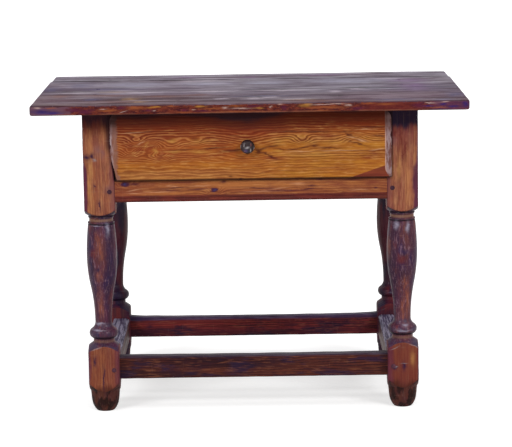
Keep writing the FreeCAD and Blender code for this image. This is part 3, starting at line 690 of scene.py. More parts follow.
def old_leg_coat(tree, place, rings):
    """What is left of the first finish: purple brown, blue black in places and red where it is thin."""
    coat = tree.mix(rings["Tone"], paint(0.015, 0.007, 0.022), paint(0.085, 0.017, 0.042))
    red = tree.step(tree.noise(place, (34.0, 34.0, 9.0), 4.0, 0.65), 0.5, 0.66)
    coat = tree.mix((red, 0.8), coat, paint(0.165, 0.026, 0.02))
    blue = tree.step(tree.noise(place, (26.0, 26.0, 11.0), 3.0, 0.6), 0.5, 0.64)
    coat = tree.mix((blue, 0.8), coat, paint(0.02, 0.01, 0.058))
    scuff = tree.step(tree.noise(place, (210.0, 210.0, 45.0), 4.0, 0.7), 0.54, 0.66)
    return tree.mix((scuff, 0.42), coat, paint(0.21, 0.1, 0.11))


print("legs stand", 2 * LEG_X, "m apart, and", 2 * LEG_Y, "m from front to back")

# %% [markdown]
# ## What each leg has met
#
# A leg is knocked by shoes and chairs. Dark spots, red and yellow patches and pale scratches are set
# one by one, and so are painted highlights, a grey sheen on the curves. A mark has no depth, so it
# also falls on the leg behind, where the painted shade laid last over the back legs nearly hides it.

# %% Marks of the legs
VASE_MARKS = [
    (paint(0.275, 0.078, 0.036), 0.82, [(-343.9, 387, 9, 18), (-340, 361.8, 8.5, 13),
        (-345.7, 315, 8, 13), (-343, 245, 7.5, 33), (308.5, 371.2, 4.4, 24), (350.8, 251.2, 5.5, 32),
        (340, 225, 5, 22), (344, 290, 6, 16)]),
    (paint(0.016, 0.009, 0.05), 0.8, [(-361.9, 387.3, 7, 28), (-319.8, 360, 6, 14),
        (-323.5, 306.4, 10, 16), (346.7, 361.5, 18, 5), (357, 345, 6, 24), (331, 330, 6, 14)])]
BARE_MARKS = [
    (paint(0.46, 0.22, 0.07), 0.55, [(-359.2, 556, 3.6, 20), (-361, 515, 4, 26), (361, 115, 5, 15),
        (332, 550, 5, 26)]),
    (paint(0.21, 0.09, 0.085), 0.7, [(-340, 603.3, 10, 13), (-331.2, 596.4, 6, 12),
        (321, 615.8, 6, 13), (-319.1, 512.7, 8.5, 9)])]
LEG_MARKS = [
    (paint(0.11, 0.014, 0.014), 0.8, [(336.6, 615.6, 4, 26), (345.5, 597.5, 4.5, 23),
        (341, 582, 3.4, 18), (323.3, 631.5, 6, 10), (-360.2, 366.7, 5, 9), (337.7, 343.3, 10, 9)]),
    (paint(0.022, 0.008, 0.034), 0.95, [(-354.5, 589, 5.5, 7.5), (-366, 586.8, 10, 5.5),
        (-349.6, 522.2, 2.6, 3.6), (-339.8, 479, 1.8, 12), (-340.6, 80, 1.6, 24), (-360, 118, 3, 10),
        (-347.7, 329.8, 3.4, 4.2), (-320.5, 334, 3.2, 4.6), (340.9, 98, 3.8, 10), (321.8, 96.1, 5, 4.5)]),
    (paint(0.27, 0.24, 0.25), 0.75, [(-350, 579.2, 4.4, 3.4), (342, 104.6, 6, 0.8),
        (324, 97.5, 2.4, 1.6), (-356, 147.5, 9, 0.9, 0.3), (320, 140, 8, 0.9, 0.45),
        (362, 144.5, 10, 0.9, -0.35)]),
    # painted highlights: a grey sheen on the upper vases and the rings
    (paint(0.33, 0.31, 0.4), 0.75, [(-349.5, 429.3, 8.5, 1.5), (-324.8, 422.5, 4, 13),
        (325.7, 422.5, 5, 7.5), (351.5, 418, 3.6, 10), (-348, 203.1, 10, 1.8), (-350, 189.2, 13, 1.6),
        (341.5, 179.8, 14, 1.8), (345, 191.5, 6, 2.8)])]
tell("the legs", VASE_MARKS + BARE_MARKS + LEG_MARKS)

# %% [markdown]
# ## Where a leg is square, round, front or right
#
# One finish serves all four legs, so it has to know where it is. Heights tell the square lengths from
# the turned ones, the distance from the leg's axis tells a flat face from a corner, and the signs of
# x and y tell the legs apart. All of these are masks, worked out once and shared.

# %% Zones of a leg, and its turned part
# heights up the leg with their reach, in metres
NECKS = ((0.1625, 0.0058), (0.4415, 0.0062))
QUIRKS = ((0.1715, 0.0055), (0.4505, 0.0042), (0.4325, 0.0036))
UPPER_SHOULDER, LOWER_SHOULDER = (0.464, 0.0125), (0.148, 0.016)
RING, UNDER_RING = (0.199, 0.009), (0.181, 0.011)


def leg_zones(tree, place):
    """Masks by name, and aside: the distance from the leg's axis along x."""
    x, y, z = tree.parts(place)
    aside, depthwise = (tree.math("ABSOLUTE", tree.minus(tree.math("ABSOLUTE", value), axis))
                        for value, axis in ((x, LEG_X), (y, LEG_Y)))
    block = tree.times(tree.step(z, BLOCK_TOP, BLOCK_TOP - 0.002), tree.step(z, 0.044, 0.046))
    plain = tree.larger(tree.step(z, POST_FOOT, POST_FOOT + 0.002), block)
    flat = tree.step(tree.larger(aside, depthwise), LEG_HALF - 0.0018, LEG_HALF - 0.0008)
    corner = tree.step(tree.math("MINIMUM", aside, depthwise), 0.0305, 0.034)
    return {"aside": aside, "plain": plain, "faces": tree.times(plain, flat), "corner": corner,
            "round": tree.minus(1.0, flat), "front": tree.step(y, 0.0, -0.1),
            "right": tree.step(x, -0.1, 0.1)}


def leg_turning_colour(tree, place, ragged, colour, worn):
    """The front vases: rubbed orange streaks, blue black and red patches, and dirt along the grain."""
    speckle = tree.step(tree.noise(place, (210.0, 210.0, 30.0), 4.0, 0.7), 0.38, 0.58)
    vase = paint_marks(tree, colour, ragged, VASE_MARKS)
    vase = tree.mix((speckle, 0.55), vase, paint(0.04, 0.012, 0.034))
    # craze: pale crazing of the old varnish, partly a painted glint on it
    craze = tree.step(tree.noise(place, (290.0, 290.0, 48.0), 4.0, 0.72), 0.52, 0.68)
    vase = tree.mix((craze, 0.44), vase, paint(0.33, 0.175, 0.225))
    return tree.mix((worn["Dirt"], 0.35), vase, paint(0.03, 0.01, 0.026))


print(len(NECKS), "necks and", len(QUIRKS), "quirks on each leg")

# %% [markdown]
# ## Arrises, ends, foot and curves
#
# A leg's colour changes most where its shape does. Its outer arrises are darker, the upper ends of its
# posts carry a painted shadow of the top, red below and nearly black above, and its foot is black with
# floor dirt. The quirks and the upper shoulder, which faces down, are painted dark as shade, while the
# ring and the lower shoulder carry a painted bluish reflection of the room. Beside the drawer a front
# post gets a painted shadow of the lip, and the inner sides of the square parts are painted darker as
# shade. Each of these is a function that lays its layer on a colour.


# %% Places on a leg
def leg_arrises(tree, colour, place, zone):
    """Darker beyond a wavering distance outwards from the axis and at corners, and painted shade beyond
    another inwards.
    """
    x, _, z = tree.parts(place)
    fray = tree.times(tree.minus(tree.noise(place, (55.0, 55.0, 22.0), 4.0), 0.5), 0.022)
    outwards = tree.plus(tree.minus(tree.math("ABSOLUTE", x), LEG_X), fray)
    low = tree.step(z, 0.6, 0.54)
    reach = tree.mix(zone["right"], tree.scale(low, 0.03, 0.024), tree.scale(low, 0.03, 0.02))
    block = tree.times(tree.step(z, 0.3, 0.2), tree.scale(zone["right"], 0.002, 0.02))
    reach = tree.plus(reach, block)
    band = tree.step(outwards, reach, tree.plus(reach, 0.007))
    # inner: painted shade on the inner sides of the square parts, where the drawer's lip shades the front
    # posts
    inner = tree.times(tree.step(outwards, -0.019, -0.029), 0.55)
    rims = tree.larger(band, tree.larger(inner, tree.times(zone["corner"], 0.7)))
    return tree.mix((tree.times(zone["plain"], rims), 0.88), colour, paint(0.075, 0.013, 0.046))


def leg_ends(tree, colour, wavy, zone, rings):
    """A painted shadow of the top above two wavy heights, red first and nearly black higher up, and a dark
    foot under a third.
    """
    right = zone["right"]
    # reddish and head: the painted shadow under the top's overhang, deepening upwards
    reddish = tree.step(wavy, tree.scale(right, 0.622, 0.575), tree.scale(right, 0.662, 0.655))
    colour = tree.mix((reddish, tree.scale(rings["Streak"], 0.88, 0.56)), colour,
                      tree.mix(right, paint(0.135, 0.02, 0.016), paint(0.155, 0.026, 0.036)))
    head = tree.step(wavy, tree.scale(right, 0.65, 0.634), tree.scale(right, 0.674, 0.652))
    colour = tree.mix((head, 0.94), colour,
                      tree.mix(right, paint(0.036, 0.01, 0.018), paint(0.015, 0.011, 0.032)))
    hem = tree.times(zone["faces"], tree.step(wavy, 0.068, 0.05))
    return tree.mix((hem, 0.7), colour, paint(0.045, 0.012, 0.008))


def leg_curves(tree, colour, z, zone, rings):
    """Painted shade in the quirks and on the downward-facing upper shoulder, and a painted bluish reflection
    on the ring and the lower shoulder.
    """
    # painted shade: nearly black in the quirks, dark on the upper shoulder under the post
    colour = tree.mix((bands(tree, z, QUIRKS), 0.94), colour, paint(0.007, 0.004, 0.01))
    under = tree.times(near(tree, z, *UPPER_SHOULDER), zone["round"])
    colour = tree.mix((under, 0.88), colour, paint(0.012, 0.005, 0.018))
    # painted bluish reflection of the room on the ring, under it and on the lower shoulder
    cooler = tree.larger(near(tree, z, *RING), tree.times(near(tree, z, *LOWER_SHOULDER), zone["round"]))
    cooler = tree.larger(cooler, tree.times(near(tree, z, *UNDER_RING), 0.78))
    return tree.mix((cooler, tree.scale(rings["Streak"], 0.75, 0.2)), colour, paint(0.04, 0.036, 0.07))


def drawer_shade(tree, colour, place, zone):
    """Painted shadow of the drawer's lip on the front posts close beside it, and in a wedge along the rail's
    end.
    """
    x, _, z = tree.parts(place)
    away = tree.math("ABSOLUTE", x)
    beside = tree.times(tree.step(away, tree.scale(zone["right"], 0.329, 0.3205), 0.3165),
                        tree.scale(tree.step(z, 0.585, 0.612), tree.scale(zone["right"], 0.0, 0.55), 0.85))
    wedge = tree.step(tree.minus(away, tree.times(tree.minus(z, 0.54), 0.12)), 0.3085, 0.307)
    wedge = tree.times(wedge, tree.step(z, 0.58, 0.572))
    shade = tree.times(tree.larger(beside, wedge), tree.step(z, 0.531, 0.536))
    return tree.mix((shade, tree.times(zone["front"], 0.92)), colour, paint(0.02, 0.006, 0.01))


print("upper shoulder at", UPPER_SHOULDER[0], "m, ring at", RING[0], "m")

# %% [markdown]
# ## The legs' finish
#
# The layers go on in the order in which the table met them, with painted light and shade laid in
# between: the first coat, the wear on the vases and necks, the bare wood of the square faces, darker
# arrises with painted shade on their inner sides, the dark foot, painted shadows and reflections,
# dirt, the single marks and painted highlights, a painted shadow beside the drawer, scratches, and at
# last a painted shade that covers the two back legs. Only the turned parts have kept a gloss.


# %% Put the legs' finish together
def foot_colour(tree, colour, place, foot):
    """The foot: black with floor dirt, and a little brown where that has been knocked off."""
    grime = tree.step(tree.noise(place, (60.0, 60.0, 30.0), 4.0), 0.56, 0.42)
    colour = tree.mix((foot, tree.scale(grime, 0.6, 0.96)), colour, paint(0.016, 0.006, 0.004))
    return tree.mix((foot, tree.scale(grime, 0.36, 0.0)), colour, paint(0.15, 0.045, 0.017))


def make_leg_finish():
    """All the layers of a leg, from its first coat to the painted shade on the back legs."""
    material, tree, place = begin("turned_legs")
    z = tree.parts(place)[2]
    zone = leg_zones(tree, place)
    ragged = frayed(tree, place, (0.012, 0.0, 0.012))
    point = turned(tree, place, "z")
    rings = tree.use(growth, {"Point": point, "Heart": (0, 0.29, -0.3), "Ring width": 0.0062,
                              "Wander": 0.01, "Shift": (0.3, 0.0, 0.7), "Ruffle": 2.2})
    worn = tree.use(wear, {"Point": point, "Amount": 0.03})
    coat = old_leg_coat(tree, place, rings)
    patches = tree.times(worn["Gone"], tree.step(zone["aside"], 0.026, 0.008))
    coat = tree.mix((patches, tree.scale(zone["front"], 0.1, 0.45)), coat, paint(0.24, 0.07, 0.034))
    colour = tree.mix(zone["front"], coat, leg_turning_colour(tree, place, ragged, coat, worn))
    tan = tree.times(tree.scale(tree.step(z, 0.3, 0.4), 0.42, 0.72), tree.scale(zone["front"], 0.15, 1.0))
    colour = tree.mix((bands(tree, z, NECKS), tan), colour, paint(0.25, 0.125, 0.072))
    bare = paint_marks(tree, bare_leg_wood(tree, place, rings), ragged, BARE_MARKS)
    colour = leg_arrises(tree, tree.mix(zone["faces"], colour, bare), place, zone)
    wave = tree.times(tree.minus(tree.noise(point, (9.0, 60.0, 60.0), 3.0), 0.5), 0.05)
    foot = tree.times(tree.step(z, 0.073, 0.069), tree.minus(1.0, zone["faces"]))
    colour = foot_colour(tree, colour, place, foot)
    colour = leg_ends(tree, colour, tree.plus(z, wave), zone, rings)
    colour = leg_curves(tree, colour, z, zone, rings)
    colour = tree.mix((worn["Dirt"], 0.3), colour, paint(0.05, 0.014, 0.02))
    colour = paint_marks(tree, colour, ragged, LEG_MARKS)
    colour = drawer_shade(tree, colour, place, zone)
    colour = tree.mix((worn["Scratches"], 0.14), colour, paint(0.33, 0.2, 0.15))
    # painted shade over the two back legs, which stand in the table's shade
    shaded = tree.mix(tree.step(tree.noise(place, (30.0, 30.0, 8.0), 3.0), 0.44, 0.58),
                      paint(0.016, 0.008, 0.026), paint(0.09, 0.012, 0.022))
    colour = tree.mix((tree.minus(1.0, zone["front"]), 0.74), colour, shaded)
    gloss = tree.minus(1.0, tree.larger(zone["faces"], foot))
    roughness = tree.plus(tree.scale(gloss, 0.56, 0.42), tree.times(rings["Fibre"], 0.12))
    height = tree.minus(grain_height(tree, rings, 0.5, 0.3), tree.times(worn["Dirt"], 0.4))
    return finish(material, tree, colour, roughness, height, 0.0005, 0.07, tree.times(gloss, 0.13))


finishes["leg"] = make_leg_finish()

# %% [markdown]
# ## Rails, aprons and stretchers
#
# These share one recipe: a light and a dark tone of pine, ring lines, knots at set places, dirt, and a
# colour band along an edge, which paints a reflection on the stretchers and shade on the rail. Only the
# numbers change, so one function makes them all.

# %% A recipe for plain members
def make_member_finish(name, grain, light, dark, line, dirt, heart, ring_width=0.0045, knots=None,
                       marks=(), edges=(), roughness_range=(0.46, 0.62), specular=0.1, varnish=None,
                       flecks=None, bruises=None, fray=(0.02, 0.0, 0.005)):
    """A finish of a member that runs along grain, as a tree ring pattern and layers over it.

    Knots are (depth, list), marks are groups for paint_marks, an edge is (from height, to height,
    shade, streak shade): a band of painted reflection on the stretchers and of painted shade on the
    rail, and flecks and bruises are (shade, strength).
    """
    material, tree, place = begin(name)
    z = tree.parts(place)[2]
    point = turned(tree, place, grain)
    found = grow_knots(tree, place, *knots) if knots else []
    bend = tree.gather("ADD", (one["Bend"] for one in found)) if found else 0.0
    hearts = tree.gather("MAXIMUM", (one["Heartwood"] for one in found))
    rings = tree.use(growth, {"Point": point, "Heart": heart, "Ring width": ring_width,
                              "Wander": 0.02, "Bend": bend, "Ruffle": 2.2})
    worn = tree.use(wear, {"Point": point, "Amount": 0.0})
    colour = tree.mix(rings["Tone"], light, dark)
    colour = tree.mix((rings["Streak"], 0.4), colour, line)
    if bruises:
        patch = tree.step(tree.noise(point, (9.0, 34.0, 34.0), 4.0, 0.6), 0.5, 0.62)
        colour = tree.mix((patch, bruises[1]), colour, bruises[0])
    colour = tree.mix((rings["Lines"], 0.75), colour, line)
    if flecks:
        fleck = tree.step(tree.noise(point, (24.0, 260.0, 260.0), 4.0, 0.68), 0.52, 0.66)
        colour = tree.mix((fleck, flecks[1]), colour, flecks[0])
    colour = tree.mix((worn["Dirt"], 0.42), colour, dirt)
    if hearts is not None:
        colour = tree.mix((hearts, 0.92), colour, paint(0.04, 0.01, 0.036))
    if marks:
        colour = paint_marks(tree, colour, frayed(tree, place, fray), marks)
    # edges: bands of painted reflection on the stretchers' upper arrises and of painted shade on the rail
    for start, end, shade, streak_shade in edges:
        streaks = tree.step(tree.noise(point, (14.0, 260.0, 150.0), 4.0, 0.68), 0.44, 0.58)
        shade = tree.mix(streaks, shade, streak_shade)
        colour = tree.mix((tree.step(z, start, end), 0.88), colour, shade)
    colour = tree.mix((worn["Scratches"], 0.07), colour, paint(0.34, 0.2, 0.14))
    gloss = tree.times(tree.minus(1.0, rings["Tone"]), varnish) if varnish else None
    return finish(material, tree, colour, tree.scale(rings["Streak"], *roughness_range),
                  grain_height(tree, rings), 0.0005, specular, gloss)


print("the recipe for members takes", make_member_finish.__code__.co_argcount, "values")

# %% [markdown]
# ## Aprons and bare pine
#
# The aprons have an old brown stain. The runners, the guides and the drawer's own boards were never
# finished at all: they are pine as it was planed, darkened a little by air. A dictionary keeps what
# the two directions of grain share.

# %% Aprons and supports
PINE = dict(light=paint(0.34, 0.2, 0.105), dark=paint(0.24, 0.13, 0.066),
            line=paint(0.15, 0.075, 0.038), dirt=paint(0.11, 0.06, 0.035), heart=(0, 0.05, 0.4),
            ring_width=0.004, roughness_range=(0.62, 0.78))
APRON = dict(light=paint(0.17, 0.05, 0.02), dark=paint(0.085, 0.022, 0.012),
             line=paint(0.04, 0.01, 0.008), dirt=paint(0.036, 0.012, 0.014))
finishes["support_x"] = make_member_finish("bare_pine_lengthwise", "x", **PINE)
finishes["support_y"] = make_member_finish("bare_pine_crosswise", "y", **PINE)
finishes["apron_x"] = make_member_finish("apron_lengthwise", "x", heart=(0, 0.3, 0.45), **APRON)
finishes["apron_y"] = make_member_finish("apron_crosswise", "y", heart=(0, 0.3, 0.6), **APRON)

# %% [markdown]
# ## The stretchers' finish
#
# Four stretchers tie the feet together, where shoes rest. They are a nearly black red, and their upper
# edges carry a painted grey-blue reflection of the room, palest on the two at the sides. The front and
# back ones have blue bruises, and the back one is redder.

# %% Stretchers
STRETCHER = dict(light=paint(0.098, 0.023, 0.014), dark=paint(0.034, 0.008, 0.01),
                 line=paint(0.012, 0.004, 0.007), dirt=paint(0.014, 0.006, 0.018),
                 heart=(0, -0.15, -0.05), ring_width=0.0052, roughness_range=(0.42, 0.58), specular=0.07)
# in these three finishes each edges entry is a painted grey-blue reflection of the pale room on the upper
# arris
finishes["stretcher_x"] = make_member_finish(
    "stretcher_front", "x", edges=[(0.1195, 0.123, paint(0.03, 0.018, 0.034), paint(0.064, 0.048, 0.072))],
    flecks=(paint(0.23, 0.078, 0.038), 0.45), bruises=(paint(0.02, 0.011, 0.036), 0.75), **STRETCHER)
BACK_STRETCHER = STRETCHER | dict(light=paint(0.21, 0.028, 0.026), dark=paint(0.052, 0.009, 0.018),
                                  heart=(0, 0.15, -0.05))
finishes["stretcher_back"] = make_member_finish(
    "stretcher_back", "x", edges=[(0.112, 0.118, paint(0.034, 0.02, 0.06), paint(0.085, 0.06, 0.12))],
    flecks=(paint(0.27, 0.08, 0.05), 0.34), bruises=(paint(0.016, 0.008, 0.026), 0.8),
    **BACK_STRETCHER)
finishes["stretcher_y"] = make_member_finish(
    "stretcher_crosswise", "y", edges=[(0.116, 0.1215, paint(0.044, 0.034, 0.08), paint(0.32, 0.29, 0.4))],
    flecks=(paint(0.25, 0.19, 0.21), 0.45), **STRETCHER)

# %% [markdown]
# ## The front rail's finish
#
# The rail under the drawer is rubbed to orange wood like the posts. It has three small knots, pale
# scratches and dark streaks at set places, painted shade on its downward-facing bead, and a painted
# shadow under the drawer's lip.

# %% The front rail
RAIL_Y = -0.2535
RAIL_KNOTS = [(-280.6, 524.3, 14, 3.6), (-82.7, 508.9, 11.5, 3.0), (-21.8, 532, 5.5, 1.5)]
RAIL_MARKS = [
    (paint(0.15, 0.024, 0.02), 0.65, [(-150, 527.5, 50, 2.8), (60, 505.5, 60, 3), (270, 520, 26, 10),
        (192, 517, 15, 5)]),
    (paint(0.56, 0.26, 0.13), 0.65, [(-183, 520, 6, 1.6, 0.1), (-172, 517.8, 7, 1.4),
        (-262, 511, 14, 1.4, 0.2), (-262, 503.5, 15, 1.4), (-205, 506, 30, 1.2), (60, 510, 18, 1.2, 0.1),
        (245, 505, 16, 1.2), (-110, 519, 16, 1.6), (105, 520, 16, 3), (20, 504, 30, 1.4)]),
    (paint(0.06, 0.012, 0.022), 0.85, [(-260, 524.5, 14, 3.6), (-62, 527.2, 6, 3.4),
        (70, 505.5, 40, 1.4), (128, 508, 17, 1.6, 0.12), (155, 529, 14, 2.4), (230, 529, 20, 2.4),
        (281, 509, 4, 2.4), (140, 516, 7, 2.2), (-120, 511, 24, 1.6, 0.05), (14, 512, 30, 1.4, -0.05),
        (-170, 515, 30, 1.2, 0.04), (-190, 510, 24, 1.2)]),
    (paint(0.04, 0.034, 0.11), 0.9, [(-281.5, 525, 3.2, 2.6), (-81.5, 508.5, 2.2, 2.2)])]
tell("the rail", RAIL_MARKS)
finishes["rail"] = make_member_finish(
    "rubbed_rail", "x", paint(0.42, 0.145, 0.042), paint(0.27, 0.068, 0.028), paint(0.11, 0.02, 0.013),
    paint(0.15, 0.034, 0.026), (0, -0.2, 0.4), 0.0056, (RAIL_Y, RAIL_KNOTS), RAIL_MARKS,
    # edges: painted shade on the downward-facing bead, then a painted shadow under the drawer's lip
    [(0.5005, 0.4965, paint(0.07, 0.011, 0.014), paint(0.13, 0.02, 0.017)),
     (0.529, 0.5315, paint(0.02, 0.005, 0.005), paint(0.05, 0.012, 0.01))],
    flecks=(paint(0.56, 0.24, 0.085), 0.45), specular=0.08)

# %% [markdown]
# ## Pegs and knob
#
# The pegs are slips of split wood whose cut ends have gone a dull mauve brown. The knob is the one
# piece that every user touches: it is nearly black, with a thin varnish, and its crown carries painted
# highlights, a painted bluish reflection and a few red spots.

# %% Pegs and knob
# painted highlights first, then a painted bluish reflection, then red spots
KNOB_MARKS = [
    (paint(0.42, 0.38, 0.39), 0.85, [(-21.8, 610.2, 1.2, 5), (-6.6, 607.3, 4.2, 2.2, 0.2),
        (0.8, 601, 1.2, 4), (-13.6, 611.9, 0.7, 3.6), (8.8, 604.5, 1, 4)]),
    (paint(0.075, 0.05, 0.15), 0.85, [(-10.5, 599.7, 4.6, 3)]),
    (paint(0.24, 0.06, 0.055), 0.8, [(1.7, 613.4, 1, 3.2), (-13, 598.5, 1.4, 1)])]
tell("the knob", KNOB_MARKS)
finishes["peg"] = make_member_finish(
    "old_pegs", "y", paint(0.125, 0.045, 0.066), paint(0.058, 0.021, 0.034), paint(0.02, 0.008, 0.016),
    paint(0.02, 0.01, 0.02), (0, 0.0, 0.4), 0.0018)
finishes["knob"] = make_member_finish(
    "handled_knob", "y", paint(0.034, 0.014, 0.016), paint(0.014, 0.006, 0.008), paint(0.008, 0.004, 0.005),
    paint(0.01, 0.005, 0.008), (0, 0.0, 0.6), 0.0022, marks=KNOB_MARKS, roughness_range=(0.3, 0.44),
    specular=0.2, varnish=0.2, fray=(0.003, 0.0, 0.003))

# %% [markdown]
# ## The drawer front
#
# This is the best board of the table: golden pine with a strong figure. The lines swirl round a group
# of small knots near the left end, one dark line runs from the knob to the right, and a wedge of dark
# heartwood crosses the lower right corner. The knob's shadow is painted below it to the right, and the
# top's overhang leaves a painted shadow along the upper part. The lip's bevel has lost its finish and
# is pale.

# %% Marks of the drawer front
# where the flat field ends and the bevels begin, and how far its lower corners turn in, in metres
FIELD_LEFT, FIELD_RIGHT = -0.295, 0.2998
CORNER_IN = 0.01
FACE_Y = -0.2643
SWIRLS = [(-252, 620, 14, 3.6), (-229, 612, 12, -3.2), (-204, 590, 13, 3.8), (-219, 600.5, 11, -2.6),
          (-270, 598, 10, 2.4), (-175, 612, 15, 2.2), (-6, 608.9, 30, 2.4), (115.6, 620.2, 11, 2.6),
          (235, 620, 15, -2.4), (-123, 619, 11, 1.8)]
FIELD_PATCHES = [
    (paint(0.2, 0.03, 0.012), 0.8, [(262.3, 579.7, 20, 5), (275.7, 588.5, 12, 6),
        (171.3, 627.2, 20, 6), (-272, 623.8, 10, 6), (-245.7, 603.2, 12, 6), (-265, 612, 10, 4),
        (-221.1, 607.3, 9, 6, 0.5), (-199.2, 589, 9, 9, 0.8), (-190, 628, 30, 4), (115.6, 621.3, 15, 3.4),
        (-10, 630, 18, 9), (50, 580, 30, 5)]),
    (paint(0.54, 0.27, 0.055), 0.7, [(100.1, 627.1, 22, 6), (137.8, 617.6, 18, 5), (190, 616.6, 26, 7),
        (62, 595.5, 12, 2.8), (60, 618, 12, 8), (130, 588, 60, 4.4), (-171.7, 622.3, 11, 5),
        (-112, 597.5, 24, 4), (-167.8, 597.5, 14, 3), (-233, 613, 3.6, 6, 0.9), (-105, 621, 24, 5),
        (-213, 599, 4, 7, 0.9)])]
# the first dark marks right of the knob, at x 19, 35 and 50, are its painted shadow falling down to the right
FIELD_LINES = [
    (paint(0.06, 0.01, 0.008), 0.85, [(-38.5, 598.9, 26, 3.6, 0.05), (-85, 604.5, 30, 1.8, 0.06),
        (-150, 602, 30, 1.4, 0.05), (19.4, 596.5, 11, 5.2, -0.5), (35, 589.9, 15, 3.6, -0.4),
        (50, 583, 16, 2.6, -0.3), (26.2, 601.3, 12, 3, 0.3), (47, 606.8, 20, 2.8, 0.08),
        (70, 600, 18, 1.4, -0.1), (94, 599, 18, 1.7, 0.04), (117.6, 603.1, 14, 2, 0.15),
        (139.9, 606.3, 10, 3.6), (177.8, 601.3, 26, 2, -0.05), (89.1, 639.2, 32, 2),
        (150, 638.5, 40, 2.2), (210, 637.3, 24, 1.4), (267.2, 647, 24, 1.8), (238, 610.9, 20, 2.6, -0.3),
        (220.4, 630.9, 9, 2.8, -0.4), (289.3, 626.5, 14, 1.4, -0.1), (-46.2, 540.5, 5, 1.8),
        (-21.7, 535, 3.6, 2.2)]),
    (paint(0.62, 0.35, 0.18), 0.62, [(110.8, 594.5, 26, 1.2), (200, 595.3, 40, 1.1),
        (285, 596.5, 16, 1.1, 0.1), (248, 617.5, 11, 2.6, -0.2), (227, 624.1, 10, 1.4),
        (256, 642, 16, 1.1), (-260, 642, 28, 0.9, 0.05), (-245, 618, 6, 1.4, 0.5)])]
tell("the drawer front, round %d swirls" % len(SWIRLS), FIELD_PATCHES + FIELD_LINES)

# %% [markdown]
# ## Field and bevels
#
# The field's colour comes first in broad areas: gold, red, and a painted shadow that the top's overhang
# leaves under itself. Then come flames and embers, two noises drawn out along the grain, then the ring
# lines, and the single dark and light lines last, among them the knob's painted shadow; the darkest
# steps of the overhang's painted shadow go on top of them. The bevels are end grain and thin edges, so
# they are bare and grey, and the same painted shadow darkens them near the top.


# %% Colours of the drawer front
def drawer_field_colour(tree, place, rings, worn):
    """Gold at the right and low down, redder at the left, and a painted shadow of the top's overhang that
    darkens by steps towards the top.
    """
    x, _, z = tree.parts(place)
    ragged = frayed(tree, place, (0.026, 0.0, 0.006))
    mottle = tree.step(tree.noise(place, (9.0, 9.0, 40.0), 4.0, 0.62), 0.36, 0.64)
    right_side = tree.step(x, -0.06, 0.1)
    right_gold = tree.times(right_side, tree.step(z, 0.64, 0.622))
    low_gold = tree.times(tree.step(z, 0.588, 0.56), 0.75)
    gold = tree.times(tree.larger(right_gold, low_gold), tree.scale(mottle, 0.55, 1.0))
    colour = tree.mix(gold, paint(0.37, 0.098, 0.016), paint(0.45, 0.172, 0.02))
    redder = tree.times(tree.step(x, -0.04, -0.2), tree.step(z, 0.572, 0.592))
    redder = tree.times(redder, tree.scale(mottle, 1.0, 0.45))
    colour = tree.mix((redder, 0.55), colour, paint(0.265, 0.052, 0.018))
    pale_foot = tree.times(tree.step(z, 0.562, 0.548), tree.step(x, 0.1, -0.1))
    colour = tree.mix((pale_foot, 0.6), colour, paint(0.42, 0.175, 0.055))
    colour = paint_marks(tree, colour, ragged, FIELD_PATCHES)
    # lift shapes the border of the painted shadow: it reaches lower in the middle and less far at the right
    lift = tree.minus(tree.times(near(tree, x, -0.015, 0.12), 0.012),
                     tree.times(tree.step(x, 0.05, 0.11), 0.009))
    lift = tree.plus(lift, tree.times(tree.minus(mottle, 0.5), 0.006))
    climb = tree.plus(z, lift)
    middle = tree.times(near(tree, x, -0.06, 0.05), near(tree, z, 0.614, 0.034))
    colour = tree.mix((middle, 0.62), colour, paint(0.185, 0.032, 0.01))
    # painted shadow of the top's overhang, first step: red brown
    colour = tree.mix((tree.step(climb, 0.62, 0.65), 0.88), colour, paint(0.225, 0.028, 0.008))
    flame = tree.step(tree.noise(place, (22.0, 22.0, 170.0), 4.0, 0.66), 0.42, 0.6)
    colour = tree.mix((flame, 0.4), colour, paint(0.2, 0.034, 0.01))
    ember = tree.step(tree.noise(place, (30.0, 30.0, 240.0), 3.0, 0.6), 0.52, 0.66)
    # embers and light ridges fade where the painted shadow falls
    glow = tree.scale(tree.step(climb, 0.64, 0.655), 0.5, 0.16)
    colour = tree.mix((ember, glow), colour, paint(0.6, 0.28, 0.08))
    quiet = tree.times(tree.scale(right_side, 0.85, 1.0), tree.step(z, 0.596, 0.574))
    ridge = tree.times(rings["Early"], tree.scale(tree.step(climb, 0.635, 0.655), 0.45, 0.15))
    colour = tree.mix((ridge, tree.scale(quiet, 1.0, 0.4)), colour, paint(0.56, 0.24, 0.08))
    colour = tree.mix((rings["Lines"], tree.scale(quiet, 0.88, 0.5)), colour,
                      paint(0.115, 0.018, 0.008))
    colour = tree.mix((worn["Dirt"], 0.18), colour, paint(0.11, 0.022, 0.01))
    colour = paint_marks(tree, colour, ragged, FIELD_LINES)
    # painted shadow of the overhang, darkest steps: dark red, then nearly black at the top
    colour = tree.mix((tree.step(climb, 0.648, 0.67), 0.76), colour, paint(0.125, 0.02, 0.011))
    return tree.mix((tree.step(climb, 0.668, 0.682), 0.85), colour, paint(0.032, 0.014, 0.022))


